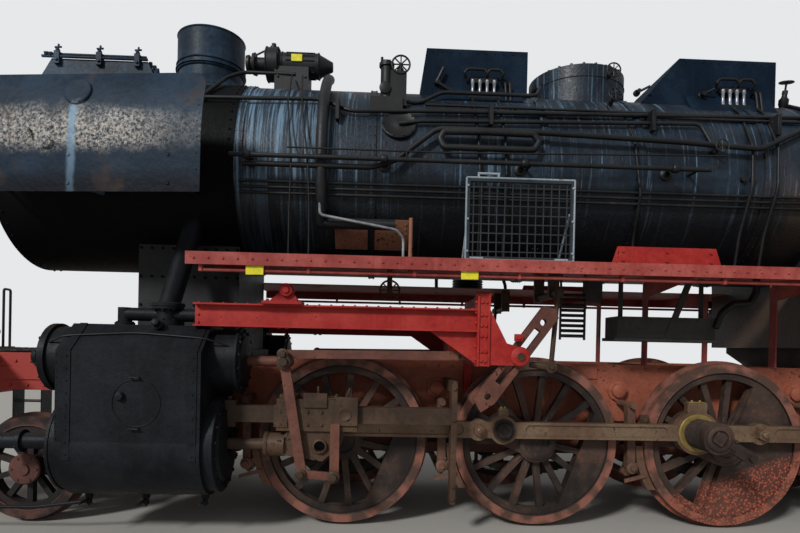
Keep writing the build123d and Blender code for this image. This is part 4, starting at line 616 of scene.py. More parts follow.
# Front end: riveted steel beam and deck, sprung buffers, hook and screw coupling, and two electric lamps. The beam is
# a paler chalked red than the brackets, and the coupling and the buffers' faces are bare, greasy steel.
beam_red = weathered("chalked red on buffer beam", "b8433b", "cd675e", "5c2823", 0.35, 0.4, 0.6, 0.3, 10, 0.5)
finish(beam_red, "buffer_beam", "drag_box")
black_fittings = weathered("black paint on fittings", "0f1012", "1f2124", "3f2a20", 0.25, 0.35, 0.5, 0.3, 8, 0.55)
finish(black_fittings, "front_buffers", "front_deck", "front_steps", "front_lamps", "smokebox_saddle",
    "turbo_generator", "handrails", "boiler_pipes", "air_pump", "air_reservoirs", "cab_furniture", "cab_bearers")
greasy_steel = weathered("greasy worn steel", "5d5852", "8a8378", "4a342a", 0.1, 0.4, 0.38, 0.25, 6, 0.4, None, 0.7)
finish(greasy_steel, "draw_gear")
beam, ends, bare = bmesh.new(), bmesh.new(), bmesh.new()
beam_x, screw_x, buffer_z, lamp_z, lamp_sides = -6.27, -6.455, 1.088, 1.598, (-0.95, 0.95)
for z in (1.4, 0.91):
    heads(beam, row((beam_x, -1.42, z), (beam_x, 1.42, z), 32), front, 0.013, 0.009, 8)
for y in (-0.52, -0.36, 0.36, 0.52):
    heads(beam, row((beam_x, y, 0.99), (beam_x, y, 1.32), 5), front, 0.013, 0.009, 8)
block(beam, (-6.282, -0.26, 0.93), (beam_x, 0.26, 1.25))
heads(beam, [(-6.282, y, z) for y in (-0.22, 0.22) for z in (0.97, 1.09, 1.21)], front, 0.016, 0.014)
piece("buffer_beam_rivets", beam, beam_red)
for y in (-0.875, 0.875):
    heads(ends, [(-6.295, y + a * 0.135, buffer_z + b * 0.135) for a in (-1, 1) for b in (-1, 1)], front, 0.022, 0.02)
    turned(ends, [(0, 0.15), (0.02, 0.15), (0.05, 0.128)], (-6.295, y, buffer_z), front, 32)
    turned(ends, [(0, 0.134), (0.03, 0.134), (0.04, 0.128)], (-6.58, y, buffer_z), front, 32)
    turned(bare, [(0, 0.222), (0.004, 0.215), (0.0005, 0.1), (0, 0)], (-6.8455, y, buffer_z), front, 40)
    hoop(bare, (-6.832, y, buffer_z), front, 0.222, 0.004, 48)
for y in lamp_sides:
    hoop(ends, (-6.338, y, lamp_z), front, 0.098, 0.009)
    heads(ends, ring((-6.34, y, lamp_z), front, 0.098, 3), front, 0.01, 0.012)
    turned(ends, [(0, 0.075), (0.02, 0.07), (0.05, 0.035), (0.07, 0.03), (0.075, 0)], (-6.17, y, lamp_z), rear)
for y, way in ((-1.352, left), (1.352, right)):
    heads(ends, row((-6.2, y, 1.36), (-5.18, y, 1.36), 14), way, 0.011, 0.007, 8)
for x in [-6.16 + 0.085 * i for i in range(12)]:
    for y in [-1.27 + 0.195 * i for i in range(14)]:
        bar(ends, (x - 0.022, y - 0.022, 1.4165), (x + 0.022, y + 0.022, 1.4165), 0.006, 6)
piece("buffer_lamp_and_deck_trim", ends, black_fittings)
turned(bare, [(0, 0.02), (0.1, 0.02)], (screw_x, 0, 1.02), down, 12)
for z in [0.6 + 0.012 * i for i in range(30)]:
    hoop(bare, (screw_x, 0, z), up, 0.024, 0.004, 12)
piece("buffer_faces_and_coupling_thread", bare, greasy_steel)
lens_glass, add = fresh("ribbed lamp glass")
here = add("TexCoord")["Object"]
ribs = add("TexWave", {"Vector": here, "Scale": 1000 / 60}, {"bands_direction": "Z"})
relief = add("Bump", {"Height": ribs[1], "Strength": 0.3, "Distance": 0.003})[0]
shade = add("BsdfPrincipled", {"Base Color": "c9cfc6", "Roughness": 0.15, "Normal": relief,
    "Transmission Weight": 0.5})
add("OutputMaterial", {"Surface": shade[0]})
lenses = bmesh.new()
for y in lamp_sides:
    turned(lenses, [(0, 0.089), (0.008, 0.08), (0.016, 0.055), (0.02, 0)], (-6.322, y, lamp_z), front, 32)
piece("lamp_lenses", lenses, lens_glass)
pipe("front_brake_hoses", [[(beam_x, y, 0.98), (-6.38, y, 0.98), (-6.42, y, 0.9), (-6.42, y * 1.02, 0.62)]
    for y in (-0.62, 0.62)], 0.028, rubber, bend=0.1)
pipe("front_deck_rails", [[(-6.2, s * 1.3, 1.415), (-6.2, s * 1.3, 2.1), (-6.2, s * 1.18, 2.1),
    (-6.2, s * 1.18, 1.415)] for s in (-1, 1)], 0.014, black_fittings)


# Smokebox: rolled and riveted drum with its dished door, in blistered black heat paint. The door closes on screwed
# dogs round its rim, and a flat cover with clamps sits on the drum ahead of the chimney, both in blue-grey paint.
heat_black = weathered("blistered black heat paint", "030405", "08090b", "1c1511", 0.3, 0.25, 0.6, 0.4, 16, 0.15,
    shine=0.1)
finish(heat_black, "smokebox", "smokebox_door")
stack_paint = weathered("blue-grey heat paint on chimney", "1c2834", "35495c", "2f2721", 0.45, 0.2, 0.45, 0.25, 14,
    0.12, shine=0.14)
finish(stack_paint, "chimney", "smokebox_cover")
boiler_z, boiler_r = 3.078, 0.882


def girth(part, x, radius, count, size, height, first=0, last=360, sides=8):
    """Heads round the boiler between two angles from the right-hand side up, square to its skin."""
    for i in range(count):
        a = radians(first + (last - first) * (i + 0.5) / count)
        way = Vector((0, cos(a), sin(a)))
        heads(part, [Vector((x, 0, boiler_z)) + way * radius], way, size, height, sides)


drum = bmesh.new()
girth(drum, -5.0, boiler_r, 48, 0.013, 0.009)
girth(drum, -3.09, boiler_r, 60, 0.013, 0.009)
# The open door lies over the drum's right edge, where the rivets are left out.
heads(drum, [at for at in ring((-5.08, 0, boiler_z), front, 0.79, 40) if at[1] < 0.68], front, 0.012, 0.01, 8)
for z in (1.46, 1.6, 1.85, 2.1, 2.35):
    for side in (-1, 1):
        heads(drum, row((-3.92, side * 0.54, z), (-3.08, side * 0.54, z), 10), (0, side, 0), 0.013, 0.01)
piece("smokebox_rivets", drum, heat_black)
door = bmesh.new()
for i in range(14):
    a = tau * (i + 0.5) / 14
    way = Vector((0, cos(a), sin(a)))
    at = Vector((-5.082, 0, boiler_z)) + way * 0.7
    bar(door, at - way * 0.045, at + way * 0.012, 0.016, 8)
    heads(door, [at + Vector((-0.012, 0, 0))], front, 0.022, 0.024)
bar(door, (-5.16, -0.42, 3.45), (-5.16, 0.42, 3.45), 0.012, 10)
for y in (-0.42, 0.42):
    bar(door, (-5.1, y, 3.45), (-5.16, y, 3.45), 0.012, 8)
hoop(door, (-5.312, 0, boiler_z), front, 0.142, 0.012, 32)
piece("smokebox_door_dogs_and_rail", door, heat_black, "smokebox_door")

cap = bmesh.new()
for first_x, last_x, y, z in ((-4.87, -3.94, -0.432, 4.052), (-4.83, -3.96, -0.405, 4.084),
        (-4.83, -3.96, 0.405, 4.084)):
    bar(cap, (first_x, y, z), (last_x, y, z), 0.013, 10)
heads(cap, [(-4.83, -0.43, 4.062), (-4.79, -0.43, 4.06)], (0, -0.5, 1), 0.02, 0.03)
for x in (-4.734, -4.366, -4.03):
    for side in (-1, 1):
        y = side * 0.428
        block(cap, (x - 0.024, side * 0.452, 3.985), (x + 0.024, side * 0.392, 4.098))
        bar(cap, (x, y, 4.09), (x + 0.008, y, 4.165), 0.009, 8)
        bar(cap, (x - 0.026, y, 4.135), (x + 0.034, y, 4.14), 0.009, 8)
        heads(cap, [(x, y, 4.098)], up, 0.021, 0.022)
        heads(cap, [(x, side * 0.45, 4.02)], (0, side, 0), 0.016, 0.014)
bar(cap, (-3.93, -0.36, 3.985), (-3.84, -0.4, 3.93), 0.02, 10)
heads(cap, [(-3.9, -0.36, 3.99), (-3.93, -0.38, 4.01), (-3.86, -0.4, 3.945)], (0, -0.3, 1), 0.018, 0.045)
bar(cap, (-3.815, -0.42, 3.85), (-3.815, -0.42, 3.94), 0.008, 8)
piece("smokebox_cover_clamps", cap, stack_paint, bevel=0.002)

stack = bmesh.new()
chimney_x = -3.5
for z, radius, thick in ((4.452, 0.309, 0.01), (4.176, 0.314, 0.01), (4.116, 0.306, 0.011)):
    hoop(stack, (chimney_x, 0, z), up, radius, thick, 56)
turned(stack, [(0, 0.3), (0, 0.328), (0.012, 0.328), (0.018, 0.305)], (chimney_x, 0, 4.124), up, 56)
heads(stack, ring((chimney_x, 0, 4.136), up, 0.317, 20), up, 0.009, 0.01)


def on_drum(x, y, out=0):
    """Place on the smokebox's top, raised by out."""
    return Vector((x, y, boiler_z + sqrt(boiler_r ** 2 - y ** 2) + out))


saddle = []
for i in range(48):
    a = tau * i / 48
    x, y = cos(a), sin(a)
    saddle.append([stack.verts.new(on_drum(chimney_x + r * x, r * y, rise)) for r,
        rise in ((0.325, 0.04), (0.37, 0.02), (0.43, 0.012), (0.434, -0.01))])
for one, two in zip(saddle, saddle[1:] + saddle[:1]):
    for k in range(3):
        stack.faces.new((one[k], one[k + 1], two[k + 1], two[k]))
for i in range(18):
    a = tau * (i + 0.5) / 18
    heads(stack, [on_drum(chimney_x + 0.4 * cos(a), 0.4 * sin(a), 0.013)], (0, 0.45 * sin(a), 1), 0.014, 0.016)
piece("chimney_hoops_and_bolts", stack, stack_paint)


# Smoke deflectors: bent steel sheets under many coats of black bitumen paint, lumpy, with a painted grey sheen along
# the middle, painted shade darkening the foot and brown bloom. A pale run of limewash drips from the round cover on
# the left sheet.
cover_x = -4.092


def deflector_marks_sheen_and_shade(add, here):
    """Painted speckled grey sheen at mid-height, painted shade at the foot, the cover's drip and brown rust bloom."""
    spot = add("SeparateXYZ", {0: here})
    wave = add("TexNoise", {"Vector": here, "Scale": 1000 / 90, "Detail": 3.0})[0]
    lean = add("Math", {0: wave, 1: 0.035, 2: spot[0]}, times_plus)[0]
    off = add("Math", {0: lean, 1: cover_x}, {"operation": "SUBTRACT"})[0]
    off = add("Math", {0: off}, {"operation": "ABSOLUTE"})[0]
    drip = add("MapRange", {0: off, 1: 0.012, 2: 0.045, 3: 0.85, 4: 0}, eased)[0]
    below = add("MapRange", {0: spot[2], 1: 3.29, 2: 3.25})[0]
    fade = add("MapRange", {0: spot[2], 1: 2.62, 2: 3.15, 3: 0.25})[0]
    left_at = add("MapRange", {0: spot[1], 1: 0, 2: -0.5})[0]
    for mask in (below, fade, left_at):
        drip = add("Math", {0: drip, 1: mask}, times)[0]
    # Painted highlight: the chalk mask below is a speckled grey sheen band at mid-height, fading toward the rear.
    grain = add("TexNoise", {"Vector": here, "Scale": 1000 / 24, "Detail": 9.0, "Roughness": 0.8})[0]
    cloud = add("TexNoise", {"Vector": here, "Scale": 1000 / 190, "Detail": 4.0})[0]
    high = add("Math", {0: cloud, 1: 0.22, 2: spot[2]}, times_plus)[0]
    up_at = add("MapRange", {0: high, 1: 3.0, 2: 3.12}, eased)[0]
    down_at = add("MapRange", {0: high, 1: 3.26, 2: 3.4, 3: 1.0, 4: 0}, eased)[0]
    along_at = add("MapRange", {0: spot[0], 1: -3.75, 2: -3.3, 3: 1.0, 4: 0.25}, eased)[0]
    chalk = add("MapRange", {0: grain, 1: 0.44, 2: 0.58})[0]
    for mask in (up_at, down_at, along_at):
        chalk = add("Math", {0: chalk, 1: mask}, times)[0]
    # Painted shade: low_at darkens the foot of the sheet toward near black.
    low_at = add("MapRange", {0: spot[2], 1: 2.84, 2: 2.66, 3: 0, 4: 0.9}, eased)[0]
    bloom = add("TexNoise", {"Vector": here, "Scale": 1000 / 300, "Detail": 7.0})[0]
    bloom = add("MapRange", {0: bloom, 1: 0.57, 2: 0.7, 4: 0.5})[0]
    # b9b2a8 is the painted sheen's grey, and 0b0c14 the painted shade at the foot.
    return (chalk, "b9b2a8"), (low_at, "0b0c14"), (drip, "7e9cb3"), (bloom, "4a3a30")


deflector_paint = weathered("lumpy black bitumen paint with painted sheen and shade", "1a2937", "253748", "33271f", 0.15, 0.2, 0.46, 0.14, 60, 0.1,
    deflector_marks_sheen_and_shade, shine=0.08)
finish(deflector_paint, "smoke_deflectors")


def sheet_place(x, z, out=0):
    """Place on the left sheet's outer face, and the way that the face looks."""
    bend_z, bend_r, rear_x, half_width, toe_in = 2.948, 1.508, -3.135, 1.46, radians(6)
    turn = asin(max(0, z - bend_z) / bend_r)
    inward = bend_r * (1 - cos(turn)) + (rear_x - x) * tan(toe_in)
    way = Vector((-sin(toe_in) * cos(turn), -cos(toe_in) * cos(turn), sin(turn)))
    return Vector((x, inward - half_width, z)) + way * out, way


lids = bmesh.new()
for x, z, outline in ((cover_x, 3.376, [(-0.012, 0.106), (0.01, 0.106), (0.016, 0.099), (0.016, 0)]),
        (-4.286, 2.973, [(-0.004, 0.046), (0.01, 0.044), (0.022, 0.034), (0.026, 0)])):
    turned(lids, outline, *sheet_place(x, z), 36)
for x in (-5.06, -3.165):
    for z in (2.66, 2.78, 2.9, 3.02, 3.14, 3.26):
        heads(lids, [sheet_place(x, z)[0]], sheet_place(x, z)[1], 0.009, 0.005, 8)
for share in (0.12, 0.5, 0.88):
    x = -5.12 + share * 1.985
    for z in (2.678, 2.888):
        heads(lids, [sheet_place(x, z)[0]], sheet_place(x, z)[1], 0.018, 0.008, 8)
place, way = sheet_place(-4.426, 3.071)
bar(lids, place, place + way * 0.03, 0.01, 8)
bar(lids, place + way * 0.03, place + way * 0.03 + Vector((0.02, 0, -0.06)), 0.01, 8)
both_sides(lids)
piece("deflector_covers_and_rivets", lids, deflector_paint)


# Boiler: rolled plate under thin lagging sheets in bands, blue-black paint gone pale where lime and rust run down from
# every joint and valve. The firebox sides have blistered tan with heat, and the sand boxes are a matt blue grey. The
# barrel darkens toward its underside with painted shade.
def lime_runs_and_painted_shade(add, here):
    """Pale lime and brown rust in fine runs round the girth, thickest near the smokebox, tan blisters low down, and
    painted shade on the barrel's underside.
    """
    spot = add("SeparateXYZ", {0: here})
    fine = add("Mapping", {"Vector": here, "Scale": (1000 / 26, 1000 / 700, 1000 / 1100)})[0]
    runs = add("TexNoise", {"Vector": fine, "Scale": 1.0, "Detail": 7.0, "Roughness": 0.72})[0]
    broad = add("TexNoise", {"Vector": here, "Scale": 1000 / 520, "Detail": 5.0})[0]
    near = add("MapRange", {0: spot[0], 1: -2.9, 2: -1.75, 3: 0.105, 4: 0}, eased)[0]
    much = add("Math", {0: broad, 1: 0.22, 2: runs}, times_plus)[0]
    much = add("Math", {0: much, 1: near}, {"operation": "ADD"})[0]
    pale_at = add("MapRange", {0: much, 1: 0.66, 2: 0.82, 4: 0.8}, eased)[0]
    other = add("TexNoise", {"Vector": fine, "W": 3.0, "Scale": 0.8, "Detail": 6.0, "Roughness": 0.7},
        {"noise_dimensions": "4D"})[0]
    brown_at = add("MapRange", {0: other, 1: 0.58, 2: 0.72, 4: 0.6}, eased)[0]
    back_at = add("MapRange", {0: spot[0], 1: 1.2, 2: 2.0})[0]
    low_at = add("MapRange", {0: spot[2], 1: 3.35, 2: 2.7})[0]
    hot_at = add("MapRange", {0: broad, 1: 0.4, 2: 0.56, 3: 0.1, 4: 0.85})[0]
    for mask in (back_at, low_at):
        hot_at = add("Math", {0: hot_at, 1: mask}, times)[0]
    # Painted shade: below z 3.0 the barrel ahead of the firebox darkens toward near black 06080b.
    painted_shade_at = add("MapRange", {0: spot[2], 1: 3.0, 2: 2.62, 4: 0.85}, eased)[0]
    ahead_at = add("MapRange", {0: spot[0], 1: 2.0, 2: 2.1, 3: 1.0, 4: 0})[0]
    painted_shade_at = add("Math", {0: painted_shade_at, 1: ahead_at}, times)[0]
    return (pale_at, "6d8aa1"), (brown_at, "4a392c"), (hot_at, "6e5644"), (painted_shade_at, "06080b")


boiler_paint = weathered("blue-black boiler paint with lime runs and painted shade", "0d1824", "1c2c3a", "463629", 0.35, 0.3, 0.45,
    0.35, 24, 0.35, lime_runs_and_painted_shade)
finish(boiler_paint, "boiler_barrel", "firebox", "steam_dome")
sandbox_paint = weathered("matt blue-grey paint on sand box", "0b1927", "172737", "2c241e", 0.3, 0.3, 0.68, 0.3, 12,
    0.2, shine=0.08)
finish(sandbox_paint, "front_sandbox", "rear_sandbox")
sheet_grey = weathered("scaled steel sheet over the fire", "38332f", "514840", "57392a", 0.3, 0.5, 0.7, 0.35, 10, 0.5)
finish(sheet_grey, "ash_pan")
shell = bmesh.new()
for x in (-3.01, -1.9, -0.43, 0.4, 1.5):
    girth(shell, x - 0.022, boiler_r, 64, 0.007, 0.005)
    girth(shell, x + 0.022, boiler_r, 64, 0.007, 0.005)
for first in (-72, 232):
    for x in [-2.94 + 0.147 * i for i in range(34)]:
        girth(shell, x, 0.87, 1, 0.008, 0.005, first, first + 20)
for side in (-1, 1):
    for z in (1.66, 1.95, 2.3, 2.65, 3.0):
        face = 0.821 + 0.049 * (z - 1.588) / 1.49
        heads(shell, row((2.1, side * face, z), (5.0, side * face, z), 26), (0, side, 0), 0.01, 0.008, 8)
    sheet(shell, [(3.3, side * 0.829, 1.8), (3.56, side * 0.829, 1.8), (3.56, side * 0.838, 2.06),
        (3.3, side * 0.838, 2.06)], (0, side * 0.012, 0))
for x in (2.09, 3.1, 4.1, 4.55):
    girth(shell, x, 0.872, 24, 0.008, 0.006, 0, 180)
for x in (2.5, 3.3, 4.1):
    for side in (-1, 1):
        turned(shell, [(0, 0.075), (0.02, 0.075), (0.026, 0.06), (0.05, 0.055), (0.055, 0)],
            (x, side * 0.6, boiler_z + 0.625), (0, side * 0.69, 0.72))
piece("boiler_lagging_screws", shell, boiler_paint)

box_trim = bmesh.new()
for low_x, high_x in ((-1.43, -0.5), (0.92, 1.84)):
    for side in (-1, 1):
        for z in (3.88, 4.22):
            heads(box_trim, row((low_x + 0.06, side * 0.45, z), (high_x - 0.06, side * 0.45, z), 11), (0, side, 0),
                0.008, 0.006, 8)
    heads(box_trim, [(x, y, 4.253) for x in (low_x + 0.07, high_x - 0.07) for y in (-0.38, -0.13, 0.13, 0.38)], up,
        0.009, 0.006, 8)
    middle = (low_x + high_x) / 2
    for x in (middle - 0.22, middle + 0.22):
        turned(box_trim, [(0, 0.135), (0.022, 0.135), (0.03, 0.125), (0.042, 0.02), (0.044, 0)], (x, 0, 4.253), up,
            32)
        bar(box_trim, (x - 0.06, -0.155, 4.262), (x + 0.06, -0.155, 4.262), 0.014, 10)
        bar(box_trim, (x, 0.11, 4.286), (x, 0.18, 4.268), 0.01, 8)
piece("sand_box_lids_and_rivets", box_trim, sandbox_paint)
dome = bmesh.new()
dome_x = 0.1
heads(dome, ring((dome_x, 0, 4.196), up, 0.395, 22), up, 0.014, 0.014)
hoop(dome, (dome_x, 0, 4.06), up, 0.455, 0.006, 64)
turned(dome, [(0, 0.12), (0.014, 0.12), (0.02, 0.1), (0.032, 0.095), (0.036, 0)], (dome_x, 0, 4.254), up)
piece("steam_dome_cover_bolts", dome, boiler_paint)


# Boiler fittings: cast valves with handwheels, levers and bent iron pipes, clipped along the boiler's side. All are in
# oily black paint, but for the bright zinc of one drain pipe and of the sand valves' plungers.
def valve(part, foot, axis, height, wheel, spokes=4):
    """Globe valve: flanged body, bonnet with its nut, thin stem and a spoked handwheel."""
    axis = Vector(axis).normalized()
    foot = Vector(foot)
    turned(part, [(0, height * 0.2), (height * 0.05, height * 0.2), (height * 0.06, height * 0.12),
        (height * 0.2, height * 0.17), (height * 0.34, height * 0.17), (height * 0.42, height * 0.1),
        (height * 0.55, height * 0.08), (height * 0.56, 0)], foot, axis, 16)
    heads(part, [foot + axis * height * 0.54], axis, height * 0.1, height * 0.12)
    bar(part, foot + axis * height * 0.6, foot + axis * height, height * 0.035, 8)
    top = foot + axis * height * 0.94
    hoop(part, top, axis, wheel, wheel * 0.11, 24)
    turn = turned_to(axis)
    for i in range(spokes):
        a = pi * i / spokes
        arm = turn @ Vector((wheel * cos(a), wheel * sin(a), 0))
        bar(part, top - arm, top + arm, wheel * 0.08, 6)


fittings = bmesh.new()
block(fittings, (-1.93, -0.76, 3.54), (-1.65, -0.6, 3.665))
turned(fittings, [(0, 0.062), (0.05, 0.062), (0.06, 0.052), (0.34, 0.052), (0.345, 0.066), (0.375, 0.066),
    (0.385, 0.03), (0.4, 0.03), (0.4, 0)], (-1.792, -0.69, 3.6), up, 20)
heads(fittings, ring((-1.792, -0.69, 3.975), up, 0.05, 6), up, 0.01, 0.014)
heads(fittings, [(-1.835, -0.69, 3.98)], up, 0.014, 0.05)
block(fittings, (-1.76, -0.74, 3.6), (-1.62, -0.62, 3.9))
turned(fittings, [(0, 0.05), (0.012, 0.05), (0.018, 0.035), (0.018, 0)], (-1.804, -0.742, 3.745), left, 20)
heads(fittings, ring((-1.804, -0.748, 3.745), left, 0.042, 4), left, 0.008, 0.01)
valve(fittings, (-1.672, -0.6, 3.95), left, 0.15, 0.077)
bar(fittings, (-1.672, -0.66, 3.95), (-1.69, -0.67, 3.86), 0.03, 12)
turned(fittings, [(0, 0.15), (0.02, 0.15), (0.026, 0.14), (0.018, 0.12), (0.006, 0.05), (0.012, 0.03), (0.012, 0)],
    (-1.68, -0.808, 3.405), (0, -0.927, 0.375), 36)
heads(fittings, [Vector((-1.68, -0.826, 3.412)) + Vector((0.136 * cos(a), 0.136 * sin(a) * -0.375,
    0.136 * sin(a) * -0.927)) for a in [tau * i / 10 for i in range(10)]], (0, -0.927, 0.375), 0.01, 0.012)
plungers = bmesh.new()
for start in (-1.011, 1.31):
    block(fittings, (start - 0.04, -0.54, 3.68), (start + 0.25, -0.45, 3.8))
    block(fittings, (start - 0.02, -0.5, 3.935), (start + 0.22, -0.45, 3.975))
    for x in [start + 0.066 * i for i in range(4)]:
        turned(plungers, [(0, 0.018), (0.03, 0.018), (0.035, 0.014), (0.12, 0.014), (0.125, 0.017), (0.16, 0.017),
            (0.16, 0)], (x, -0.5, 3.795), up, 14)
for a, b in (((-1.278, -0.5, 4.055), (-1.338, -0.5, 3.928)), ((-1.338, -0.5, 3.928), (-1.2, -0.5, 3.846))):
    bar(fittings, a, b, 0.015, 8)
turned(fittings, [(0, 0.022), (0.07, 0.022), (0.07, 0)], (-1.335, -0.44, 3.93), left)
for x in (0.518, 1.124):
    bar(fittings, (x, -0.46, 3.915), (x + 0.1, -0.52, 3.955), 0.011, 8)
    turned(fittings, [(0, 0.03), (0.02, 0.03), (0.03, 0.02), (0.07, 0.02), (0.07, 0)], (x, -0.452, 3.91), left)
valve(fittings, (0.247, -0.46, 4.053), left, 0.14, 0.062)
valve(fittings, (0.229, -0.56, 3.76), (0, -0.9, 0.25), 0.14, 0.06)
valve(fittings, (2.019, -0.3, 3.88), (0, -0.2, 1), 0.26, 0.06)
valve(fittings, (2.25, -0.42, 3.84), (0, -0.4, 1), 0.24, 0.055)
valve(fittings, (1.014, -0.85, 3.241), (0, -1, 0.1), 0.16, 0.055)
for x in (1.273, 1.36):
    heads(fittings, [(x, -0.868, 3.02)], left, 0.026, 0.03)
for x in (2.75, 2.95):
    turned(fittings, [(0, 0.085), (0.03, 0.085), (0.04, 0.06), (0.2, 0.055), (0.22, 0.065), (0.3, 0.06), (0.33, 0.03),
        (0.34, 0)], (x, 0, 3.935), up)
turned(fittings, [(0, 0.05), (0.05, 0.05), (0.06, 0.03), (0.18, 0.03), (0.19, 0.05), (0.33, 0.05), (0.36, 0.02),
    (0.37, 0)], (4.25, 0.3, 3.86), up)
piece("boiler_valves_and_handwheels", fittings, black_iron)

pipe("upper_boiler_pipes", [[(-3.366, -0.758, 3.599), (-3.223, -0.45, 3.92), (-3.1, -0.36, 4.01),
    (-2.631, -0.38, 4.0)], [(-3.366, -0.758, 3.599), (-2.361, -0.717, 3.638), (-2.097, -0.806, 3.51),
    (-1.502, -0.785, 3.539), (0.242, -0.76, 3.579), (1.876, -0.726, 3.626), (2.03, -0.6, 3.75), (2.03, -0.36, 3.89)],
    [(-1.68, -0.83, 3.41), (-1.504, -0.838, 3.433), (0.93, -0.801, 3.51), (1.014, -0.86, 3.3)],
    [(-1.744, -0.705, 3.66), (-1.5, -0.66, 3.66), (-1.3, -0.62, 3.78), (-0.46, -0.62, 3.78), (-0.4, -0.52, 3.9)]],
    0.017, black_iron, bend=0.12)
pipe("sand_pipes_and_loops", [[(x, -0.5, 3.81), (x, -0.66, 3.68), (x * 0.985, -0.885, 3.3), (x * 0.97, -0.925, 2.95),
    (x * 0.95, -0.8, 2.55), (x * 0.95, -0.72, 2.17)] for x in (-1.027, -0.797, 1.37, 1.599)]
    + [[(a + 0.02, -0.48, 3.975), (a, -0.52, 4.01), (a + 0.03, -0.52, 4.045), (b - 0.03, -0.52, 4.045),
    (b, -0.52, 4.01), (b - 0.02, -0.48, 3.975)] for a, b in ((-1.09, -0.88), (-0.885, -0.735), (1.24, 1.45),
    (1.445, 1.6))] + [[(x, -0.46, 3.93), (x, -0.53, 3.93), (x + 0.01, -0.56, 3.7), (x + 0.02, -0.7, 3.6)]
    for x in (-0.72, -0.68, 1.6, 1.64)] + [[(0.29, -0.66, 3.66), (0.337, -0.853, 3.332), (0.379, -0.893, 2.861),
    (0.407, -0.706, 2.511), (0.42, -0.66, 2.18)]], 0.013, black_iron, bend=0.1)
pipe("lower_boiler_pipe", [[(-2.95, -0.985, 2.985), (-1.9, -0.98, 2.985), (-1.71, -0.945, 3.059),
    (-1.364, -0.92, 3.342), (-0.494, -0.92, 3.339), (0.703, -0.925, 3.301), (1.394, -0.93, 3.263),
    (1.788, -0.852, 3.463), (2.02, -0.76, 3.6)]], 0.023, black_iron, bend=0.12)
pipe("flattened_pipe_loop", [[(-0.93, -0.945, 3.318), (-1.31, -0.945, 3.312), (-1.345, -0.95, 3.25),
    (-1.31, -0.96, 3.178), (-0.56, -0.96, 3.178), (-0.515, -0.95, 3.25), (-0.56, -0.945, 3.312),
    (-0.93, -0.945, 3.318)]], 0.027, black_iron, bend=0.06)
pipe("thin_oil_lines", [[(-2.652, -0.42, 3.973), (-2.62, -0.8, 3.56), (-2.553, -1.0, 3.016), (-2.563, -0.99, 2.6),
    (-2.563, -0.99, 2.18)], [(-2.55, -0.46, 3.95), (-2.5, -0.82, 3.54), (-2.42, -1.0, 3.016), (-2.4, -0.99, 2.6),
    (-2.4, -0.99, 2.18)], [(-2.579, -1.05, 3.103), (-1.269, -1.05, 3.1), (1.023, -1.05, 3.153)]], 0.007, rubber,
    bend=0.16)
bright_pipe = weathered("bright zinc on thin pipe", "8d9298", "b9bcc0", "5b4a3e", 0.1, 0.2, 0.35, 0.1, 5, 0.3, None,
    0.6)
piece("sand_valve_plungers", plungers, bright_pipe)
pipe("bright_drain_pipe", [[(-2.324, -0.905, 3.3), (-2.324, -0.965, 3.0), (-2.324, -0.905, 2.62), (-2.3, -0.9, 2.6),
    (-1.687, -0.83, 2.513), (-1.62, -0.78, 2.45), (-1.62, -0.76, 2.18)]], 0.013, bright_pipe, bend=0.1)

clips = bmesh.new()
for x in (-2.9, -1.8, -0.653, 0.6):
    for side in (-1, 1):
        turned(clips, [(-0.028, 0), (-0.028, 0.03), (-0.01, 0.036), (0.01, 0.036), (0.028, 0.03), (0.028, 0)],
            (x, side * 1.036, 3.038), rear)
        turned(clips, [(0, 0.052), (0.014, 0.052), (0.02, 0.03), (0.04, 0.02)], (x, side * 0.868, 3.038),
            (0, side, 0))
for x in (-2.45, -1.62, -0.653, 0.15, 0.95):
    bar(clips, (x, -1.05, 3.045), (x, -1.05, 3.118), 0.006, 6)
for x in (-2.2, -0.9, 0.5, 1.6):
    block(clips, (x - 0.016, -0.86, 3.42), (x + 0.016, -0.7, 3.6))
piece("pipe_clips_and_rail_sockets", clips, black_fittings, bevel=0.002)


# Turbo generator: a small cast turbine and dynamo on a speckled iron plinth, flanges bolted round both ends. A blank
# yellow plate is screwed to its side, and two more hang under the left running board's edge.
turbine = bmesh.new()
centre_y, centre_z = -0.26, 4.133
for x, radius in ((-2.9, 0.15), (-2.8, 0.15), (-2.76, 0.112), (-2.425, 0.112), (-3.016, 0.094)):
    hoop(turbine, (x, centre_y, centre_z), rear, radius, 0.008, 32)
for x, way, radius in ((-2.9, -1, 0.13), (-2.8, 1, 0.132), (-2.423, 1, 0.094)):
    heads(turbine, ring((x, centre_y, centre_z), (way, 0, 0), radius, 10), (way, 0, 0), 0.01, 0.014)
turned(turbine, [(-0.012, 0), (-0.012, 0.074), (0.016, 0.08), (0.028, 0.066)], (-3.085, centre_y, centre_z), rear, 28)
for i in range(14):
    a = tau * i / 14
    bar(turbine, (-2.72, centre_y + 0.113 * cos(a), centre_z + 0.113 * sin(a)),
        (-2.46, centre_y + 0.113 * cos(a), centre_z + 0.113 * sin(a)), 0.007, 6)
turned(turbine, [(0, 0.035), (0.02, 0.035), (0.03, 0.022), (0.05, 0.022), (0.05, 0)], (-2.85, centre_y, 4.28), up)
bar(turbine, (-3.0, centre_y - 0.06, 4.19), (-2.86, centre_y - 0.1, 4.24), 0.009, 8)
heads(turbine, [(x, -0.38, 3.98) for x in (-2.79, -2.54)], left, 0.012, 0.012)
piece("generator_flanges_and_ribs", turbine, black_iron)
yellow_enamel = weathered("chipped yellow enamel", "d8cc22", "e6dd3c", "3a352c", 0.1, 0.15, 0.4, 0.1, 6, 0.3)
plates = bmesh.new()
block(plates, (-2.668, -0.384, 4.12), (-2.568, -0.368, 4.186))
for x, z in ((-2.739, 2.053), (-1.165, 2.058)):
    block(plates, (x - 0.052, -1.47, z - 0.028), (x + 0.078, -1.462, z + 0.07))
piece("blank_yellow_plates", plates, yellow_enamel, bevel=0.003)


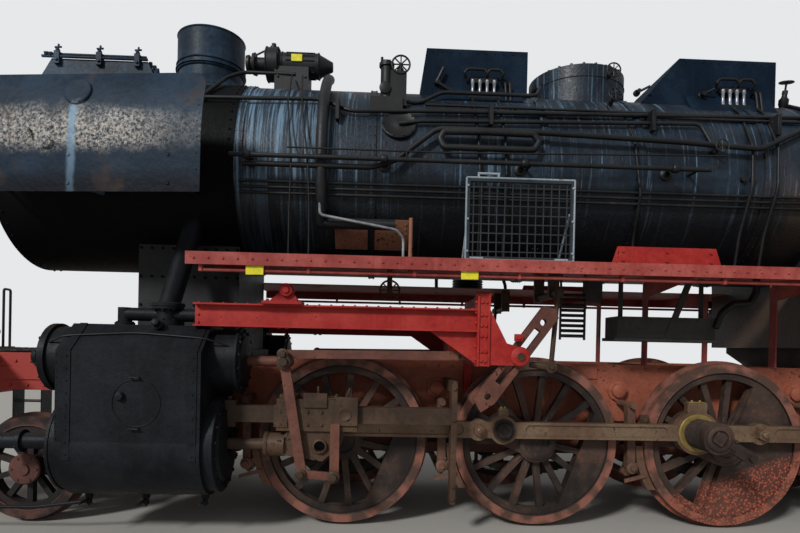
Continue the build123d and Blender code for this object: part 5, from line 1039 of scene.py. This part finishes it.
# Running boards: chequered steel plates on brackets, their deep edges painted red and gone pink, with rivets along the
# edge and a painted pipe hung under it. The left board carries a hinged mesh guard, the right one the air pump.
def trodden_top(add, here):
    """The tread on top is bare dark steel where boots and oil have taken the paint."""
    facing = add("TexCoord")["Normal"]
    top = add("SeparateXYZ", {0: facing})[2]
    top_at = add("MapRange", {0: top, 1: 0.85, 2: 0.95, 4: 0.85})[0]
    return (top_at, "4a4441"),


board_red = weathered("chalked pink red on board edges", "8b322c", "ac544b", "49281f", 0.45, 0.35, 0.6, 0.3, 9, 0.3,
    trodden_top)
finish(board_red, "running_boards")
board_top, board_edge = 2.183, 1.49
edging, tread = bmesh.new(), bmesh.new()
heads(edging, row((-3.16, -board_edge, 2.137), (4.5, -board_edge, 2.137), 74), left, 0.012, 0.009, 8)
for x in [-3.12 + 0.78 * i for i in range(10)]:
    block(edging, (x - 0.012, -1.462, 2.045), (x + 0.012, -1.418, 2.095))
    heads(edging, [(x, -1.46, 2.08)], left, 0.009, 0.008)
for x in (-1.25, 0.35, 2.0, 3.6):
    block(edging, (x - 0.003, -1.4925, 2.094), (x + 0.003, -1.489, 2.181))
both_sides(edging)
piece("board_edge_rivets", edging, board_red)
for i in range(94):
    x = -3.16 + 0.082 * i
    for j in range(8):
        y = 1.0 + 0.062 * j
        slant = 0.018 if (i + j) % 2 else -0.018
        for side in (-1, 1):
            bar(tread, (x - 0.018, side * y - slant, board_top + 0.001), (x + 0.018, side * y + slant, board_top
                + 0.001), 0.004, 4)
tread_steel = weathered("trodden chequered steel", "4f4844", "79706a", "5b4033", 0, 0.4, 0.45, 0.2, 7, 0.4, None, 0.3)
piece("board_tread_ribs", tread, tread_steel)
pipe("board_edge_pipes", [[(-3.13, s * 1.44, 2.058), (0.4, s * 1.44, 2.062), (4.5, s * 1.44, 2.066)]
    for s in (-1, 1)], 0.014, board_red)
toes = bmesh.new()
sheet(toes, [(-0.064, -1.4, board_top), (0.786, -1.4, board_top), (0.74, -1.4, 2.32), (-0.02, -1.4, 2.32)],
    (0, 0.012, 0))
for x in (0.02, 0.36, 0.7):
    sheet(toes, [(x, -1.388, board_top), (x, -1.27, board_top), (x, -1.388, 2.29)], (0.01, 0, 0))
    heads(toes, [(x, -1.401, 2.215), (x, -1.401, 2.285)], left, 0.012, 0.01)
both_sides(toes)
piece("board_toe_brackets", toes, motion_red)

guard_grey = weathered("dark paint on mesh guard", "1c2024", "2f353a", "4a392d", 0.2, 0.35, 0.6, 0.15, 6, 0.2)
guard_edge = weathered("pale blue-grey paint on guard's edge", "7d8b94", "98a4ab", "5c4a3e", 0.2, 0.35, 0.6, 0.15, 6,
    0.3)
finish(guard_grey, "mesh_guard")
guard = bmesh.new()
for x in (-1.09, -0.94):
    bar(guard, (x, -1.4, 2.803), (x, -1.4, 2.835), 0.009, 8)
bar(guard, (-1.098, -1.4, 2.835), (-0.932, -1.4, 2.835), 0.009, 8)
for x in (-1.1, -0.46):
    bar(guard, (x - 0.05, -1.418, 2.196), (x + 0.05, -1.418, 2.196), 0.012, 10)
heads(guard, [(x, -1.416, z) for x in (-1.17, -0.376) for z in (2.25, 2.49, 2.74)], left, 0.01, 0.008)
edge_lines = [(-1.181, 2.19), (-0.364, 2.19), (-0.364, 2.8), (-1.181, 2.8)]
for (ax, az), (bx, bz) in zip(edge_lines, edge_lines[1:] + edge_lines[:1]):
    bar(guard, (ax, -1.412, az), (bx, -1.412, bz), 0.008, 8)
for x in (-1.16, -0.39):
    bar(guard, (x, -1.388, 2.55), (x, -1.1, 2.19), 0.009, 8)
piece("mesh_guard_handle_and_stays", guard, guard_edge)

pump = bmesh.new()
pump_x, pump_y = -0.75, 1.235
for z in [low + 0.03 * i for low in (2.235, 2.7) for i in range(10)]:
    hoop(pump, (pump_x, pump_y, z), up, 0.18, 0.006, 40)
heads(pump, ring((pump_x, pump_y, 3.075), up, 0.155, 10), up, 0.013, 0.016)
heads(pump, ring((pump_x, pump_y, 2.6), down, 0.165, 8), down, 0.012, 0.014)
turned(pump, [(0, 0.05), (0.03, 0.05), (0.04, 0.03), (0.1, 0.03), (0.11, 0)], (pump_x, pump_y, 3.075), up)
piece("air_pump_fins_and_nuts", pump, black_fittings)
pipe("air_pump_pipes", [[(pump_x, pump_y, 3.16), (pump_x, pump_y, 3.26), (-0.75, 0.95, 3.4), (-0.75, 0.76, 3.5)],
    [(-0.56, 1.3, 2.4), (-0.3, 1.33, 2.4), (-0.26, 1.35, 2.3), (-0.26, 1.36, 2.17)],
    [(-0.94, pump_y, 2.85), (-1.12, pump_y, 2.85), (-1.14, 1.2, 2.7), (-1.14, 1.1, 2.17)]], 0.02, black_iron,
    bend=0.1)
tanks = bmesh.new()
for side in (-1, 1):
    for x, radius, thick in ((2.52, 0.231, 0.006), (3.78, 0.231, 0.006), (2.36, 0.222, 0.005), (3.94, 0.222, 0.005)):
        hoop(tanks, (x, side * 1.15, 1.878), rear, radius, thick, 48)
    turned(tanks, [(0, 0.045), (0.02, 0.045), (0.03, 0.02), (0.06, 0.02), (0.06, 0)], (3.15, side * 1.15, 1.65), down)
piece("air_tank_bands_and_cocks", tanks, black_fittings)


# Small things under the left board: a mottled grey steel box and a slatted grille hung from the board by straps, an
# elbow, a bare handwheel on its stem and a clevis. A post and a rusted patch on the lagging stand above them.
grey_box = weathered("mottled grey paint on steel box", "1d1e1d", "353532", "3e2d23", 0.3, 0.5, 0.6, 0.25, 8, 0.5)
case, slung = bmesh.new(), bmesh.new()
block(case, (0.202, -0.9, 1.64), (1.049, -0.64, 1.822))
block(case, (0.18, -0.915, 1.612), (1.071, -0.63, 1.64))
heads(case, row((0.24, -0.9, 1.8), (1.01, -0.9, 1.8), 8), left, 0.009, 0.007, 8)
for x in (0.27, 0.98):
    block(case, (x - 0.02, -0.8, 1.82), (x + 0.02, -0.79, 2.165))
sheet(case, [(0.6, -0.905, 1.64), (0.66, -0.905, 1.64), (0.86, -0.905, 2.165), (0.8, -0.905, 2.165)], (0, 0.01, 0))
for z in [1.63 + 0.043 * i for i in range(9)]:
    sheet(case, [(-0.282, -0.915, z), (-0.085, -0.915, z), (-0.085, -0.89, z + 0.026), (-0.282, -0.89, z + 0.026)],
        (0, 0, 0.006))
for x in (-0.292, -0.085):
    block(case, (x, -0.918, 1.612), (x + 0.01, -0.88, 2.165))
block(case, (-0.03, -0.72, 1.95), (0.14, -0.7, 2.165))
piece("under_board_box_and_grille", case, grey_box, bevel=0.004)
bar(slung, (-1.732, -0.9, 2.168), (-1.732, -0.9, 1.987), 0.022, 12)
valve(slung, (-1.732, -0.86, 1.987), left, 0.1, 0.08)
block(slung, (0.44, -0.862, 0.895), (0.51, -0.838, 0.985))
bar(slung, (0.475, -0.88, 0.94), (0.475, -0.8, 0.94), 0.022, 12)
piece("board_handwheel_and_clevis", slung, motion_steel, bevel=0.003)
pipe("under_board_elbow", [[(1.05, -0.9, 1.74), (1.1, -0.9, 1.87), (1.2, -0.9, 1.95), (1.348, -0.9, 1.961),
    (1.4, -0.9, 2.05), (1.4, -0.9, 2.17)]], 0.03, black_iron, bend=0.08)


def shell_patch(part, low_x, high_x, radius, first, last, thick):
    """Bent plate laid on the boiler between two angles from the right-hand side up."""
    a = radians(first)
    ends = [part.verts.new((x, radius * cos(a), boiler_z + radius * sin(a))) for x in (low_x, high_x)]
    edge = part.edges.new(ends)
    before = set(part.faces)
    bmesh.ops.spin(part, geom=ends + [edge], cent=(0, 0, boiler_z), axis=rear, angle=radians(last - first), steps=14)
    made = [f for f in part.faces if f not in before]
    bmesh.ops.recalc_face_normals(part, faces=made)
    bmesh.ops.solidify(part, geom=made, thickness=thick)


patch = bmesh.new()
shell_patch(patch, -2.215, -1.576, 0.874, 212, 232, 0.006)
for x in (-2.19, -1.6):
    girth(patch, x, 0.88, 6, 0.009, 0.006, 213, 231)
bar(patch, (-1.56, -0.8, 2.165), (-1.56, -0.8, 2.62), 0.018, 10)
rusty_sheet = weathered("bare rusted lagging sheet", "7c5240", "96684f", "4a2f26", 0.4, 0.6, 0.75, 0.3, 8, 0.4)
piece("lagging_patch_and_post", patch, rusty_sheet)


# Cab: riveted sheets on angle frames, painted blue-black outside, with sliding steel-framed windows, round-edged
# roof, wooden floor and bare brass and iron fittings on the boiler's back.
cab_paint = weathered("blue-black paint on cab sheets", "0f1922", "223140", "46372c", 0.35, 0.3, 0.42, 0.3, 18, 0.4)
finish(cab_paint, "cab_end_walls", "cab_sides", "cab_roof", "cab_door_left", "cab_door_right")
window_glass, add = fresh("greenish window glass")
here = add("TexCoord")["Object"]
dust = add("TexNoise", {"Vector": here, "Scale": 1000 / 120, "Detail": 5.0})[0]
haze = add("MapRange", {0: dust, 1: 0.4, 2: 0.8, 3: 0.03, 4: 0.3})[0]
shade = add("BsdfPrincipled", {"Base Color": "c6d3cf", "Roughness": haze, "IOR": 1.45, "Transmission Weight": 0.92})
add("OutputMaterial", {"Surface": shade[0]})
finish(window_glass, "cab_glass")
fitting_brass = weathered("handled brass", "a8853f", "c9a75a", "5b4a2c", 0.1, 0.25, 0.32, 0.15, 5, 0.2, None, 0.9)
finish(fitting_brass, "cab_fittings")


def planks(add, here):
    """Dark joints between boards 140 mm wide, and grain along them."""
    cross = add("SeparateXYZ", {0: here})[1]
    share = add("Math", {0: cross, 1: 0.07}, {"operation": "PINGPONG"})[0]
    joint_at = add("MapRange", {0: share, 1: 0.004, 2: 0.001})[0]
    drawn = add("Mapping", {"Vector": here, "Scale": (1000 / 400, 1000 / 9, 1000 / 9)})[0]
    grain = add("TexNoise", {"Vector": drawn, "Scale": 1.0, "Detail": 6.0})[0]
    grain_at = add("MapRange", {0: grain, 1: 0.42, 2: 0.66, 4: 0.6})[0]
    return (grain_at, "3d2c1e"), (joint_at, "17110c")


floor_wood = weathered("oily oak floor boards", "6a4e34", "7d6144", "3a2b1f", 0, 0.2, 0.65, 0.3, 6, 0.2, planks)
finish(floor_wood, "cab_floor")
seams, frames, brass = bmesh.new(), bmesh.new(), bmesh.new()
cab_half = 1.5
for side in (-1, 1):
    out = (0, side, 0)
    face = side * cab_half
    for z in (1.53, 2.58, 3.56):
        heads(seams, row((4.6, face, z), (5.76, face, z), 16), out, 0.011, 0.008, 8)
    for x in (4.58, 5.78, 6.48):
        heads(seams, row((x, face, 1.6), (x, face, 3.52), 24), out, 0.011, 0.008, 8)
    for low_x, high_x in ((4.73, 5.17), (5.23, 5.67)):
        for a, b in (((low_x - 0.03, 2.598), (high_x + 0.03, 2.628)), ((low_x - 0.03, 3.158), (high_x + 0.03, 3.188)),
                ((low_x - 0.03, 2.628), (low_x, 3.158)), ((high_x, 2.628), (high_x + 0.03, 3.158))):
            block(frames, (a[0], face, a[1]), (b[0], face + side * 0.012, b[1]))
    block(frames, (4.66, face, 3.205), (5.74, face + side * 0.045, 3.222))
    block(frames, (4.72, face, 2.57), (5.68, face + side * 0.03, 2.59))
for side in (-1, 1):
    heads(seams, row((4.51, side * cab_half, 3.64), (6.8, side * cab_half, 3.64), 28), (0, side, 0.3), 0.01, 0.008, 8)
piece("cab_rivets", seams, cab_paint)
piece("cab_window_frames", frames, cab_paint, bevel=0.002)
pipe("cab_grab_rails", [[(x, s * cab_half, 1.72), (x, s * 1.545, 1.74), (x, s * 1.545, 2.62), (x, s * cab_half, 2.64)]
    for s in (-1, 1) for x in (5.755, 6.485)], 0.014, bright_pipe, bend=0.03)
for y, z, r in ((-0.34, 3.3, 0.085), (-0.12, 3.36, 0.075), (0.12, 3.36, 0.075), (0.34, 3.3, 0.085)):
    hoop(brass, (5.205, y, z), rear, r, 0.009, 32)
for y in (-0.3, 0.3):
    bar(brass, (5.13, y, 2.88), (5.13, y, 3.08), 0.012, 10)
    for z in (2.88, 3.08):
        turned(brass, [(-0.02, 0), (-0.02, 0.024), (0.02, 0.024), (0.02, 0)], (5.13, y, z), up, 12)
piece("gauge_rims_and_water_glasses", brass, fitting_brass)
pipe("backhead_pipes", [*[[(5.06, s * 0.55, 3.45), (5.16, s * 0.6, 3.4), (5.16, s * 0.66, 2.9), (5.12, s * 0.7, 2.1),
    (5.1, s * 0.72, 1.69)] for s in (-1, 1)], [(5.1, -0.42, 3.5), (5.18, -0.2, 3.62), (5.18, 0.2, 3.62),
    (5.1, 0.42, 3.5)]], 0.013, fitting_brass, bend=0.08)
tail = bmesh.new()
for y, way in ((-1.25, left), (1.25, right)):
    heads(tail, row((6.45, y, 1.3), (6.8, y, 1.3), 5), way, 0.014, 0.01, 8)
piece("drag_box_rivets", tail, beam_red)
